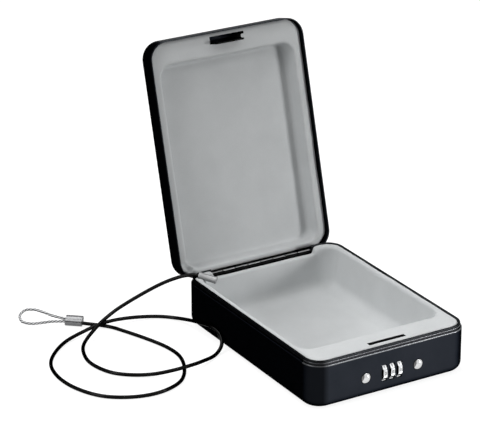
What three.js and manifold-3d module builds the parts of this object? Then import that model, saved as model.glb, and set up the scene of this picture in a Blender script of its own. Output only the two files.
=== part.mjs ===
import * as THREE from "three";
import { mergeVertices } from "three/addons/utils/BufferGeometryUtils.js";
import Module from "manifold-3d";

const wasm = await Module();
wasm.setup();

// Portable steel safe, lid open. Millimetres: +X to the right, +Y to the hinge, +Z up,
// origin in the middle of the underside.

// Outside of the closed box
const WIDTH = 180;
const DEPTH = 244.3;
const BASE_HEIGHT = 45.3;
const TOTAL_HEIGHT = 71.5;
const CORNER_RADIUS = 19.1;
const EDGE_RADIUS = 9;
const WALL = 1.2;

// Clearances
const GAP = 0.3;

// Rim frame that stands up inside the shell and centres the lid
const FRAME_INSET = WALL + GAP;
const FRAME_THICKNESS = 2.4;
const FRAME_TOP = BASE_HEIGHT + 5;
const FRAME_FOOT = BASE_HEIGHT - 8.3;
const FRAME_ROUND = 1.5;

// Padding
const LINING_INSET = FRAME_INSET + FRAME_THICKNESS + GAP;
const LINING_TOP = FRAME_TOP - GAP;
const FLOOR_TOP = 6;
const LID_LINING_FACE = FRAME_TOP + 0.4;
const LID_TRAY_FLOOR = TOTAL_HEIGHT - 4;
const LINING_SKIN = 3;

// Hinge: an eight-knuckle strip at the back
const HINGE_Y = DEPTH / 2 - 0.25;
const HINGE_Z = BASE_HEIGHT - 3.5;
const HINGE_HALF_LENGTH = 60;
const HINGE_DEPTH = 20;
const LID_LEAF_TOP = TOTAL_HEIGHT - EDGE_RADIUS - GAP;
const KNUCKLES = 8;
const KNUCKLE_RADIUS = 2.8;
const HINGE_PIN_RADIUS = 1.5;
const HINGE_BORE_RADIUS = 1.56;
const LEAF_THICKNESS = 1.3;
const LEAF_FRONT = DEPTH / 2 - WALL - GAP - LEAF_THICKNESS;
const LID_ANGLE_DEG = 105.2;

// Lock on the front wall: three wheels between two push buttons
const FRONT = -DEPTH / 2;
const LOCK_Z = 21.4;
const LOCK_DEPTH = 24.4;
const WHEELS = 3;
const WHEEL_PITCH = 8.6;
const WHEEL_RADIUS = 10.6;
const WHEEL_FIELD_RADIUS = 10.1;
const WHEEL_WIDTH = 5.2;
const WHEEL_DIGITS = 10;
const WHEEL_AXIS_Y = FRONT + 8.2;
const AXLE_RADIUS = 2;
const SLOT_WIDTH = 6;
const SLOT_HEIGHT = 17;
const SLOT_CORNER = 0.8;
const HUB_RADIUS = 4.4;
const BUTTON_X = 30;
const BUTTON_RADIUS = 5.3;
const BUTTON_PROUD = 2.8;
const BUTTON_TRAVEL = 3;
const STEM_RADIUS = 2;
const ARM_FRONT = FRONT + 14.55;
const ARM_THICKNESS = 1.5;
const ARM_HALF_WIDTH = 4.4;
const LOCK_BACK = FRONT + LOCK_DEPTH;
const SHEET = 1.2;

// Striker on the lid and the slots that it passes through
const STRIKER_Y = FRONT + 10.95;
const STRIKER_THICKNESS = 1.5;
const STRIKER_HALF_WIDTH = 17;
const CATCH_HIGH = LINING_TOP - LINING_SKIN - 1.8;
const CATCH_LOW = CATCH_HIGH - 3.4;
const CATCH_X = 11;
const CATCH_HALF_WIDTH = 3.8;
const STRIKER_FOOT = CATCH_LOW - 3.2;
const STRIKER_STUD_X = 11;
const STRIKER_STUD_Y = STRIKER_Y + 6.7;
const STRIKER_FLANGE = 13.2;

// Security cable, its ferrule and its wire eye
const CABLE_RADIUS = 1.9;
const CABLE_SIDES = 8;
const CABLE_STEPS = 84;
const SLEEVE_RADIUS = 3.9;
const SLEEVE_LENGTH = 18.5;
const CABLE_EXIT_Z = FRAME_TOP + 0.1;
const EYE_WIRE_RADIUS = 1.5;
const EYE_LENGTH = 47.4;
const EYE_WIDTH = 20.2;
const EYE_LEGS = 3.6;
const EYE_LIFT = 2.1;
const FERRULE_LENGTH = 17.6;
const FERRULE_WIDTH = 12.6;
const FERRULE_HEIGHT = 7;
const FERRULE_TILT_DEG = -20;

// Fineness of round forms
const CORNER_DIVISIONS = 4;
const EDGE_STEPS = 5;

// Route of the cable's centre line from the inner sleeve to the ferrule, sideways and
// back from the rear left corner of the box, and up from the ground. The first points fall
// from the corner, the rest lie on the ground, on one another and against the box.
const FALLING_POINTS = 7;
const ROUTE_TOP = 50.4;
const CABLE_ROUTE = [
  [12.3, -12.2, 50.6], [5.6, -5.6, 50.3], [-1.8, 1.2, 48], [-19.5, 13.3, 39],
  [-61, 23.2, 19.4], [-79.5, 19.4, 13.4], [-94, 12.4, 9.8], [-118.5, -6, 4.2],
  [-126.5, -19.4, 2.8], [-131.7, -44.2, 2.2], [-124.5, -72.4, 2], [-109.5, -88.4, 2],
  [-91, -98.9, 2.7], [-73, -106, 5.2], [-59.6, -107.4, 6.2], [-39, -102.7, 4.8],
  [-15.3, -90.6, 2.3], [-5.5, -84.2, 7.4], [-2.4, -75.7, 13.5], [-3.1, -59.4, 16.4],
  [-2.4, -36.5, 11.4], [-6.5, -1.7, 3.2], [-20.5, 14.3, 2.4], [-41.8, 23, 3.4],
  [-66.3, 24.4, 5.6], [-84.3, 22.7, 6.2], [-100.2, 20.7, 4.6], [-132.5, 9.8, 2.3],
  [-163.5, -21.6, 2], [-172.6, -52.2, 2], [-169.5, -85.9, 2], [-154, -115.7, 2],
  [-127, -132.3, 2], [-100, -134.8, 2], [-73, -122.7, 2], [-50.5, -83.2, 2],
  [-49.4, -52.8, 2], [-69.2, 5.8, 2], [-77, 21.3, 2], [-97.2, 38.6, 3.6],
];

const X_AXIS = new THREE.Vector3(1, 0, 0);
const Y_AXIS = new THREE.Vector3(0, 1, 0);
const Z_AXIS = new THREE.Vector3(0, 0, 1);


// Shapes

function point(x, y, z) {
  return new THREE.Vector3(x, y, z);
}

// Rounded rectangle at one height, counter-clockwise seen from above
function ring(left, right, front, back, radius, z) {
  const path = new THREE.Path();
  path.absarc(right - radius, back - radius, radius, 0, Math.PI / 2);
  path.absarc(left + radius, back - radius, radius, Math.PI / 2, Math.PI);
  path.absarc(left + radius, front + radius, radius, Math.PI, 1.5 * Math.PI);
  path.absarc(right - radius, front + radius, radius, 1.5 * Math.PI, 2 * Math.PI);
  return path.getPoints(CORNER_DIVISIONS).map((p) => point(p.x, p.y, z));
}

// The box's own outline, drawn in by an inset
function boxRing(inset, z) {
  const halfWidth = WIDTH / 2 - inset;
  const halfDepth = DEPTH / 2 - inset;
  return ring(-halfWidth, halfWidth, -halfDepth, halfDepth, CORNER_RADIUS - inset, z);
}

// Skin through rings of equal count, capped at both ends or closed on itself
function loft(rings, closed = false) {
  const count = rings[0].length;
  const index = [];
  const spans = closed ? rings.length : rings.length - 1;
  for (let i = 0; i < spans; i++) {
    const low = i * count;
    const high = ((i + 1) % rings.length) * count;
    for (let j = 0; j < count; j++) {
      const k = (j + 1) % count;
      index.push(low + j, low + k, high + k, low + j, high + k, high + j);
    }
  }
  if (!closed) {
    const end = (rings.length - 1) * count;
    for (let j = 1; j < count - 1; j++) {
      index.push(0, j + 1, j);
      index.push(end, end + j, end + j + 1);
    }
  }
  const geometry = new THREE.BufferGeometry();
  geometry.setFromPoints(rings.flat());
  geometry.setIndex(index);
  return geometry;
}

function box(x0, x1, y0, y1, z0, z1) {
  const geometry = new THREE.BoxGeometry(x1 - x0, y1 - y0, z1 - z0);
  return geometry.translate((x0 + x1) / 2, (y0 + y1) / 2, (z0 + z1) / 2);
}

// Local axes for a form drawn flat and pushed along a direction
function frameAlong(origin, direction) {
  const forward = direction.clone().normalize();
  const upright = Math.abs(forward.z) > 0.99;
  const side = upright ? X_AXIS.clone() : Z_AXIS.clone().cross(forward).normalize();
  const up = forward.clone().cross(side);
  return new THREE.Matrix4().makeBasis(side, up, forward).setPosition(origin);
}

function extrude(shape, depth, steps = 6) {
  return new THREE.ExtrudeGeometry(shape, { depth, bevelEnabled: false, curveSegments: steps });
}

// Shape drawn in (y, z), pushed along X
function extrudeX(shape, x0, x1, steps) {
  const turn = new THREE.Matrix4().makeBasis(Y_AXIS, Z_AXIS, X_AXIS);
  return extrude(shape, x1 - x0, steps).applyMatrix4(turn).translate(x0, 0, 0);
}

// Shape drawn in (x, z), pushed along Y
function extrudeY(shape, y0, y1, steps) {
  const turn = new THREE.Matrix4().makeBasis(X_AXIS, Z_AXIS, Y_AXIS.clone().negate());
  return extrude(shape, y1 - y0, steps).applyMatrix4(turn).translate(0, y1, 0);
}

function extrudeAlong(shape, from, to, steps) {
  const direction = to.clone().sub(from);
  return extrude(shape, direction.length(), steps).applyMatrix4(frameAlong(from, direction));
}

function circle(x, y, radius) {
  return new THREE.Shape().absarc(x, y, radius, 0, 2 * Math.PI);
}

function polygon(points) {
  return new THREE.Shape(points.map(([x, y]) => new THREE.Vector2(x, y)));
}

function roundedRectangle(x0, x1, y0, y1, r) {
  const shape = new THREE.Shape();
  shape.absarc(x1 - r, y1 - r, r, 0, Math.PI / 2);
  shape.absarc(x0 + r, y1 - r, r, Math.PI / 2, Math.PI);
  shape.absarc(x0 + r, y0 + r, r, Math.PI, 1.5 * Math.PI);
  shape.absarc(x1 - r, y0 + r, r, 1.5 * Math.PI, 2 * Math.PI);
  return shape;
}

function hexagon(x, y, acrossFlats) {
  const radius = acrossFlats / Math.sqrt(3);
  const corners = [0, 1, 2, 3, 4, 5].map((i) => (i * Math.PI) / 3);
  return polygon(corners.map((a) => [x + radius * Math.cos(a), y + radius * Math.sin(a)]));
}

// Open channel: half round below, straight sides above
function channel(radius, height) {
  const shape = new THREE.Shape();
  shape.moveTo(radius, height);
  shape.lineTo(-radius, height);
  shape.lineTo(-radius, 0);
  shape.absarc(0, 0, radius, Math.PI, 2 * Math.PI);
  return shape;
}

// The same upside down
function archway(radius, depth) {
  const shape = new THREE.Shape();
  shape.moveTo(-radius, -depth);
  shape.lineTo(radius, -depth);
  shape.lineTo(radius, 0);
  shape.absarc(0, 0, radius, 0, Math.PI);
  return shape;
}

// Turned form about an axis along Y: pairs of radius and y
function turned(profile, x, z, sides) {
  const geometry = new THREE.LatheGeometry(profile.map(([r, y]) => new THREE.Vector2(r, y)), sides);
  return geometry.translate(x, 0, z);
}

// Rod between two points
function rod(radius, from, to, sides = 20) {
  const length = from.distanceTo(to);
  const geometry = new THREE.CylinderGeometry(radius, radius, length, sides);
  geometry.rotateX(Math.PI / 2).translate(0, 0, length / 2);
  return geometry.applyMatrix4(frameAlong(from, to.clone().sub(from)));
}

// Solids, joins and cuts

function solid(geometry) {
  const bare = geometry.clone();
  bare.deleteAttribute("normal");
  bare.deleteAttribute("uv");
  const merged = mergeVertices(bare, 1e-4);
  const mesh = new wasm.Mesh({
    numProp: 3,
    vertProperties: Float32Array.from(merged.attributes.position.array),
    triVerts: Uint32Array.from(merged.index.array),
  });
  return new wasm.Manifold(mesh);
}

function join(...geometries) {
  return geometries.map(solid).reduce((whole, piece) => whole.add(piece));
}

function cut(body, ...tools) {
  const whole = body instanceof THREE.BufferGeometry ? solid(body) : body;
  return tools.map(solid).reduce((rest, tool) => rest.subtract(tool), whole);
}

function geometryOf(body) {
  const { vertProperties, triVerts, numProp } = body.getMesh();
  const positions = [];
  for (let i = 0; i < vertProperties.length; i += numProp) {
    positions.push(vertProperties[i], vertProperties[i + 1], vertProperties[i + 2]);
  }
  const geometry = new THREE.BufferGeometry();
  geometry.setAttribute("position", new THREE.Float32BufferAttribute(positions, 3));
  geometry.setIndex(Array.from(triVerts));
  const faceted = geometry.toNonIndexed();
  faceted.computeVertexNormals();
  return faceted;
}

// Materials

function material(color, roughness, metalness) {
  return new THREE.MeshStandardMaterial({ color, roughness, metalness });
}

const blackPaint = material(0x101113, 0.3, 0.1);
const blackPlastic = material(0x0c0c0d, 0.35, 0);
const greyFlock = material(0xc4c5c6, 0.95, 0);
const blackSteel = material(0x151515, 0.4, 0.6);
const zincSteel = material(0xa9abad, 0.4, 0.8);
const brightSteel = material(0xc9cbcd, 0.25, 0.9);
const chrome = material(0xe6e8ea, 0.12, 1);
const dialSilver = material(0xcfd1d3, 0.35, 0.8);
const aluminium = material(0xb9bbbd, 0.45, 0.7);
const galvanised = material(0x8f9294, 0.45, 0.75);
const blackVinyl = material(0x0a0a0a, 0.2, 0);

function piece(name, form, look) {
  const geometry = form instanceof THREE.BufferGeometry ? form : geometryOf(form);
  const mesh = new THREE.Mesh(geometry, look);
  mesh.name = name;
  return mesh;
}

// Steel shells

// Quarter round between the underside and the wall, from the flat to the wall
function edgeRound(skin, flip) {
  const radius = EDGE_RADIUS - skin;
  const steps = [];
  for (let i = 0; i <= EDGE_STEPS; i++) {
    const angle = (i / EDGE_STEPS) * (Math.PI / 2);
    const drop = EDGE_RADIUS - radius * Math.cos(angle);
    const z = flip ? TOTAL_HEIGHT - drop : drop;
    steps.push([EDGE_RADIUS - radius * Math.sin(angle), z]);
  }
  return steps;
}

// Studs welded inside the front wall, two on each side of the lock
const STUD_X = 49;
const STUD_Z = [13.5, FRAME_FOOT - 7];
const STUD_RADIUS = 1.95;
const NUT_WIDTH = 7;
const NUT_HEIGHT = 2.6;
const STUD_END = FRONT + WALL + SHEET + 2 * GAP + NUT_HEIGHT + 0.15;
const LID_STUD_END = TOTAL_HEIGHT - WALL - STRIKER_THICKNESS - 2 * GAP - NUT_HEIGHT - 1;
const studPlaces = [-STUD_X, STUD_X].flatMap((x) => STUD_Z.map((z) => [x, z]));

function wheelX(i) {
  return (i - (WHEELS - 1) / 2) * WHEEL_PITCH;
}

function baseShell() {
  const outside = edgeRound(0, false);
  const shoulder = [[0, BASE_HEIGHT - 0.6], [0.4, BASE_HEIGHT], [WALL, BASE_HEIGHT]];
  const inside = edgeRound(WALL, false).reverse();
  const skin = loft([...outside, ...shoulder, ...inside].map(([inset, z]) => boxRing(inset, z)));
  const studs = studPlaces.map(([x, z]) =>
    rod(STUD_RADIUS, point(x, FRONT + WALL / 2, z), point(x, STUD_END, z), 12));
  const tools = [];
  for (let i = 0; i < WHEELS; i++) {
    const x = wheelX(i);
    const slot = roundedRectangle(x - SLOT_WIDTH / 2, x + SLOT_WIDTH / 2,
      LOCK_Z - SLOT_HEIGHT / 2, LOCK_Z + SLOT_HEIGHT / 2, SLOT_CORNER);
    tools.push(extrudeY(slot, FRONT - 2, FRONT + 3, 3));
  }
  for (const x of [-BUTTON_X, BUTTON_X]) {
    tools.push(rod(BUTTON_RADIUS + GAP, point(x, FRONT - 2, LOCK_Z), point(x, FRONT + 3, LOCK_Z), 28));
  }
  tools.push(box(-HINGE_HALF_LENGTH - GAP, HINGE_HALF_LENGTH + GAP, DEPTH / 2 - 3, DEPTH / 2 + 3,
    HINGE_Z - KNUCKLE_RADIUS - 0.6, BASE_HEIGHT + 5));
  return cut(join(skin, ...studs), ...tools);
}

// The cable leaves over the rear left corner, square to it
const cornerReach = CORNER_RADIUS * (1 - Math.SQRT1_2);
const cableCorner = point(-WIDTH / 2 + cornerReach, DEPTH / 2 - cornerReach, 0);
const inward = point(Math.SQRT1_2, -Math.SQRT1_2, 0);

function onCornerLine(distance, z) {
  return cableCorner.clone().addScaledVector(inward, distance).setZ(z);
}

const NOTCH_RADIUS = 5;
const NOTCH_Z = CABLE_EXIT_Z - 2.1;

function rimFrame() {
  const inner = FRAME_INSET + FRAME_THICKNESS;
  const section = [[FRAME_INSET, FRAME_FOOT]];
  for (const degrees of [0, 30, 60, 90]) {
    const angle = THREE.MathUtils.degToRad(degrees);
    section.push([FRAME_INSET + FRAME_ROUND * (1 - Math.cos(angle)),
      FRAME_TOP - FRAME_ROUND * (1 - Math.sin(angle))]);
  }
  section.push([inner - 0.4, FRAME_TOP], [inner, FRAME_TOP - 0.4], [inner, FRAME_FOOT]);
  const band = loft(section.map(([inset, z]) => boxRing(inset, z)), true);
  const notch = channel(CABLE_RADIUS + GAP, CABLE_RADIUS + GAP);
  return cut(band,
    box(-HINGE_HALF_LENGTH - GAP, HINGE_HALF_LENGTH + GAP, DEPTH / 2 - inner - GAP, DEPTH / 2,
      FRAME_FOOT - GAP, TOTAL_HEIGHT),
    extrudeAlong(notch, onCornerLine(-4, CABLE_EXIT_Z), onCornerLine(10, CABLE_EXIT_Z), 4));
}

function lidShell() {
  const foot = BASE_HEIGHT + GAP;
  const inside = edgeRound(WALL, true);
  const rim = [[WALL, foot], [0.4, foot], [0, foot + 0.6]];
  const outside = edgeRound(0, true).reverse();
  const skin = loft([...inside, ...rim, ...outside].map(([inset, z]) => boxRing(inset, z)));
  const studs = [-1, 1].map((side) => rod(STUD_RADIUS, point(side * STRIKER_STUD_X, STRIKER_STUD_Y,
    TOTAL_HEIGHT - WALL / 2), point(side * STRIKER_STUD_X, STRIKER_STUD_Y, LID_STUD_END), 12));
  const arch = archway(NOTCH_RADIUS, NOTCH_RADIUS);
  return cut(join(skin, ...studs),
    extrudeAlong(arch, onCornerLine(-6, NOTCH_Z), onCornerLine(4, NOTCH_Z), 5));
}

// Soft linings

// The sleeve on the cable's inner end lies across the rear left corner
const sleeveOuter = onCornerLine(7.5, CABLE_EXIT_Z + 0.5);
const sleeveInner = onCornerLine(7.5 + SLEEVE_LENGTH, CABLE_EXIT_Z - 3.3);
const LUG_RADIUS = 6;
const LOCK_POCKET_X = STUD_X + 6;
const HINGE_LEDGE_Z = HINGE_Z + 0.4;

// Well of the base: inset from the sides, the front and the back of the box, then corner
// radius and height, from the rolled rim down to the floor
const WELL = [
  [6, 29.5, 5.8, 23, LINING_TOP],
  [8.2, 31.2, 7.4, 22.6, LINING_TOP - 0.8],
  [10, 32.3, 8.9, 22, LINING_TOP - 3.6],
  [13.4, 34.9, 11.3, 20.5, FLOOR_TOP + 20],
  [15.4, 36.7, 13.1, 19, FLOOR_TOP + 7],
  [17.4, 38.7, 15.1, 17, FLOOR_TOP + 3],
  [21.4, 42.7, 19.1, 13, FLOOR_TOP + 0.7],
  [26, 47.3, 23.7, 9, FLOOR_TOP],
];

function insetRing([side, front, back, radius, z]) {
  const half = WIDTH / 2 - side;
  return ring(-half, half, FRONT + front, DEPTH / 2 - back, radius, z);
}

function baseLining() {
  const skin = EDGE_RADIUS - WALL - GAP;
  const outside = [
    [EDGE_RADIUS, EDGE_RADIUS - skin], [6.6, EDGE_RADIUS - Math.sqrt(skin ** 2 - 2.4 ** 2)],
    [LINING_INSET, EDGE_RADIUS - Math.sqrt(skin ** 2 - (EDGE_RADIUS - LINING_INSET) ** 2)],
    [LINING_INSET, LINING_TOP - 0.9], [LINING_INSET + 0.3, LINING_TOP - 0.25],
    [LINING_INSET + 0.9, LINING_TOP],
  ].map(([inset, z]) => boxRing(inset, z));
  const body = loft([...outside, ...WELL.map(insetRing)]);

  const lugX = HINGE_HALF_LENGTH + LUG_RADIUS;
  const ledge = new THREE.Shape();
  ledge.moveTo(-lugX, LINING_TOP + GAP);
  ledge.lineTo(-lugX, LINING_TOP);
  ledge.absarc(-lugX, LINING_TOP - LUG_RADIUS, LUG_RADIUS, Math.PI / 2, 0, true);
  ledge.lineTo(-HINGE_HALF_LENGTH, HINGE_LEDGE_Z);
  ledge.lineTo(HINGE_HALF_LENGTH, HINGE_LEDGE_Z);
  ledge.absarc(lugX, LINING_TOP - LUG_RADIUS, LUG_RADIUS, Math.PI, Math.PI / 2, true);
  ledge.lineTo(lugX, LINING_TOP + GAP);

  const slotX = STRIKER_HALF_WIDTH + 3.5;
  const cradle = channel(SLEEVE_RADIUS + 0.5, 3 * SLEEVE_RADIUS);
  const cableWay = channel(CABLE_RADIUS + 0.6, 3 * SLEEVE_RADIUS);
  const step = inward.clone().multiplyScalar(1.2);
  return cut(body,
    box(-LOCK_POCKET_X, LOCK_POCKET_X, FRONT - 2, LOCK_BACK + 0.5, -1, LINING_TOP - LINING_SKIN),
    box(-slotX, slotX, STRIKER_Y - 1.2, STRIKER_Y + STRIKER_THICKNESS + 1.3, CATCH_LOW, LINING_TOP + 5),
    extrudeY(ledge, DEPTH / 2 - 22, DEPTH / 2, 6),
    extrudeAlong(cradle, sleeveOuter.clone().sub(step), sleeveInner.clone().addScaledVector(step, 8), 6),
    extrudeAlong(cableWay, onCornerLine(2, CABLE_EXIT_Z), onCornerLine(8, CABLE_EXIT_Z), 4));
}

// Tray of the lid in the same terms, from its floor down to its face, lid closed
const TRAY = [
  [16.5, 30.1, 13.7, 9.5, LID_TRAY_FLOOR],
  [14.6, 28.2, 11.8, 10.8, LID_TRAY_FLOOR - 0.6],
  [13.4, 27, 10.6, 11.9, LID_TRAY_FLOOR - 2.1],
  [11.6, 25.2, 8.8, 13.2, LID_LINING_FACE + 2.5],
  [11.1, 24.7, 8.3, 13.6, LID_LINING_FACE + 0.9],
  [10.4, 24, 7.6, 14.1, LID_LINING_FACE + 0.2],
  [9.4, 23, 6.6, 14.8, LID_LINING_FACE],
];

function lidLining() {
  const centreZ = TOTAL_HEIGHT - EDGE_RADIUS;
  const skin = EDGE_RADIUS - WALL - GAP;
  // Against the walls up to the bend, further in at the back where the hinge leaf lies
  const walls = [
    [2.4, 3.6, LID_LINING_FACE], [1.8, 3.2, LID_LINING_FACE + 0.5],
    [1.6, 3.1, LID_LINING_FACE + 1.6], [1.6, 3.1, centreZ], [1.6, 3.1, centreZ + 1.2],
  ].map(([inset, back, z]) => insetRing([inset, inset, back, CORNER_RADIUS - inset, z]));
  const bend = [
    [3.3, centreZ + Math.sqrt(skin ** 2 - (EDGE_RADIUS - 3.3) ** 2)],
    [5, centreZ + Math.sqrt(skin ** 2 - (EDGE_RADIUS - 5) ** 2)],
    [EDGE_RADIUS, centreZ + skin],
  ].map(([inset, z]) => boxRing(inset, z));
  const body = loft([...TRAY.map(insetRing), ...walls, ...bend]);
  const half = STRIKER_HALF_WIDTH + 1.2;
  const near = STRIKER_Y - 6;
  const far = STRIKER_Y + STRIKER_THICKNESS + GAP;
  const opening = polygon([
    [-half, near], [half - 4.3, near], [half - 4.3, near - 2], [half, near - 2], [half, far], [-half, far],
  ]);
  const relief = archway(SLEEVE_RADIUS + 2.7, 5 * SLEEVE_RADIUS);
  const cableRelief = archway(CABLE_RADIUS + 1.5, 5 * SLEEVE_RADIUS);
  const shift = point(-1.1, -1.1, 0.9);
  return cut(body,
    extrude(opening, TOTAL_HEIGHT - BASE_HEIGHT).translate(0, 0, BASE_HEIGHT),
    box(-half, half, STRIKER_Y - 0.8, STRIKER_Y + STRIKER_FLANGE + 1.4, TOTAL_HEIGHT - 7.3, TOTAL_HEIGHT),
    extrudeAlong(relief, sleeveOuter.clone().addScaledVector(inward, -2).add(shift),
      sleeveInner.clone().addScaledVector(inward, 3).add(shift), 5),
    extrudeAlong(cableRelief, onCornerLine(-2, CABLE_EXIT_Z + 0.5), onCornerLine(7, CABLE_EXIT_Z + 0.5), 4));
}

// Hinge

function knuckleSpans(first) {
  const pitch = (2 * HINGE_HALF_LENGTH) / KNUCKLES;
  const spans = [];
  for (let i = first; i < KNUCKLES; i += 2) {
    const start = -HINGE_HALF_LENGTH + i * pitch;
    spans.push([start + GAP / 2, start + pitch - GAP / 2]);
  }
  return spans;
}

// Flat strip between two heights, with tabs that run on from its near edge to the
// rolled knuckles round the pin
function hingeLeaf(first, far, near) {
  const half = HINGE_HALF_LENGTH - GAP / 2;
  const back = LEAF_FRONT + LEAF_THICKNESS;
  const rise = Math.sign(HINGE_Z - far);
  const strip = box(-half, half, LEAF_FRONT, back, Math.min(far, near), Math.max(far, near));
  const pieces = [strip];
  for (const [x0, x1] of knuckleSpans(first)) {
    const tangent = HINGE_Z - rise * (HINGE_BORE_RADIUS + 0.1);
    const low = Math.min(near, tangent) - 0.2;
    const high = Math.max(near, tangent) + 0.2;
    pieces.push(box(x0, x1, LEAF_FRONT, back, low, high));
    pieces.push(extrudeX(circle(HINGE_Y, HINGE_Z, KNUCKLE_RADIUS), x0, x1, 10));
  }
  const bore = rod(HINGE_BORE_RADIUS, point(-half - 1, HINGE_Y, HINGE_Z),
    point(half + 1, HINGE_Y, HINGE_Z), 16);
  return cut(join(...pieces), bore);
}

function hingePin() {
  const half = HINGE_HALF_LENGTH - GAP / 2;
  return rod(HINGE_PIN_RADIUS, point(-half, HINGE_Y, HINGE_Z), point(half, HINGE_Y, HINGE_Z), 16);
}

// Lock

// Hat-section bracket around the lock, bolted to the front wall
function lockBracket() {
  const flangeFront = FRONT + WALL + GAP;
  const sideX = STUD_X - 5.6;
  const flangeX = STUD_X + 4.5;
  const profile = polygon([
    [-flangeX, flangeFront], [-sideX, flangeFront], [-sideX, LOCK_BACK - SHEET],
    [sideX, LOCK_BACK - SHEET], [sideX, flangeFront], [flangeX, flangeFront],
    [flangeX, flangeFront + SHEET], [sideX + SHEET, flangeFront + SHEET],
    [sideX + SHEET, LOCK_BACK], [-sideX - SHEET, LOCK_BACK],
    [-sideX - SHEET, flangeFront + SHEET], [-flangeX, flangeFront + SHEET],
  ]);
  const foot = FLOOR_TOP + 1.5;
  const body = extrude(profile, FRAME_FOOT - 0.5 - foot).translate(0, 0, foot);
  const holes = studPlaces.map(([x, z]) =>
    rod(STUD_RADIUS + GAP, point(x, flangeFront - 1, z), point(x, flangeFront + 3, z), 12));
  return cut(body, ...holes);
}

function onAxle(radius, x, half) {
  return rod(radius, point(x - half, WHEEL_AXIS_Y, LOCK_Z), point(x + half, WHEEL_AXIS_Y, LOCK_Z), 24);
}

// Pair of cheeks that carry the wheels' axle
const CHEEK_X = (WHEELS * WHEEL_PITCH) / 2 + 0.7;

function dialCradle() {
  const back = LOCK_BACK - SHEET - GAP;
  const front = FRONT + WALL + 1.2;
  const profile = polygon([
    [-CHEEK_X - SHEET, front], [-CHEEK_X, front], [-CHEEK_X, back - SHEET], [CHEEK_X, back - SHEET],
    [CHEEK_X, front], [CHEEK_X + SHEET, front], [CHEEK_X + SHEET, back], [-CHEEK_X - SHEET, back],
  ]);
  const height = SLOT_HEIGHT + 2;
  const body = extrude(profile, height).translate(0, 0, LOCK_Z - height / 2);
  return cut(body, onAxle(AXLE_RADIUS + GAP, 0, CHEEK_X + 5));
}

function dialAxle() {
  return onAxle(AXLE_RADIUS, 0, CHEEK_X + SHEET + 2);
}

function axleClip(side) {
  const shape = circle(WHEEL_AXIS_Y, LOCK_Z, 3.8);
  shape.holes.push(circle(WHEEL_AXIS_Y, LOCK_Z, AXLE_RADIUS + 0.15));
  const near = side * (CHEEK_X + SHEET + GAP);
  const far = side * (CHEEK_X + SHEET + GAP + 0.8);
  return extrudeX(shape, Math.min(near, far), Math.max(near, far), 7);
}

// Number wheel: ten flat fields between raised ridges, on a wide hub
function dialWheel(i) {
  const x = wheelX(i);
  const rim = [];
  for (let digit = 0; digit < WHEEL_DIGITS; digit++) {
    const centre = Math.PI + (digit * 2 * Math.PI) / WHEEL_DIGITS;
    const steps = [[-12, WHEEL_FIELD_RADIUS], [0, WHEEL_FIELD_RADIUS], [12, WHEEL_FIELD_RADIUS],
      [15, WHEEL_RADIUS], [21, WHEEL_RADIUS]];
    for (const [degrees, radius] of steps) {
      const angle = centre + THREE.MathUtils.degToRad(degrees);
      rim.push([WHEEL_AXIS_Y + radius * Math.cos(angle), LOCK_Z + radius * Math.sin(angle)]);
    }
  }
  const hubHalf = (WHEEL_PITCH - GAP) / 2;
  const wheel = extrudeX(polygon(rim), x - WHEEL_WIDTH / 2, x + WHEEL_WIDTH / 2);
  const hub = onAxle(HUB_RADIUS, x, hubHalf);
  const bore = onAxle(AXLE_RADIUS + 0.09, x, hubHalf + 2);
  return cut(join(wheel, hub), bore);
}

// Leaf spring with a finger behind each wheel
function detentSpring() {
  const back = LOCK_BACK - 2 * SHEET - 2 * GAP;
  const touch = WHEEL_AXIS_Y + WHEEL_RADIUS + GAP;
  const t = 0.5;
  const profile = polygon([
    [back - t, LOCK_Z - 9], [back, LOCK_Z - 9], [back, LOCK_Z - 4.6], [touch + t + 0.2, LOCK_Z - 1],
    [touch + t, LOCK_Z], [touch + t + 0.2, LOCK_Z + 1], [back - 0.3, LOCK_Z + 5.4],
    [back - t - 0.3, LOCK_Z + 5.4], [touch + 0.2, LOCK_Z + 1], [touch, LOCK_Z],
    [touch + 0.2, LOCK_Z - 1], [back - t, LOCK_Z - 5],
  ]);
  const half = (WHEEL_PITCH * WHEELS) / 2;
  const gaps = [-0.5, 0.5].map((i) =>
    box(i * WHEEL_PITCH - 0.8, i * WHEEL_PITCH + 0.8, WHEEL_AXIS_Y, LOCK_BACK, LOCK_Z - 5.2, LOCK_Z + 8));
  return cut(extrudeX(profile, -half, half), ...gaps);
}

// Push button: domed cap, collar behind the wall and stepped stem
function button(x) {
  const tip = FRONT - BUTTON_PROUD;
  const domeRadius = 7.2;
  const rimAngle = Math.asin(BUTTON_RADIUS / domeRadius);
  const dome = [];
  for (let i = 0; i <= 6; i++) {
    const angle = (i / 6) * rimAngle;
    dome.push([domeRadius * Math.sin(angle), tip + domeRadius * (1 - Math.cos(angle))]);
  }
  const inside = FRONT + WALL + GAP;
  const profile = [
    ...dome, [BUTTON_RADIUS, inside], [BUTTON_RADIUS + 1.7, inside],
    [BUTTON_RADIUS + 1.7, inside + SHEET], [STEM_RADIUS + SHEET, inside + SHEET],
    [STEM_RADIUS + SHEET, ARM_FRONT - GAP], [STEM_RADIUS, ARM_FRONT - GAP],
    [STEM_RADIUS, ARM_FRONT + ARM_THICKNESS + 1.4], [0, ARM_FRONT + ARM_THICKNESS + 1.4],
  ];
  return turned(profile, x, LOCK_Z, 20);
}

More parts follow.
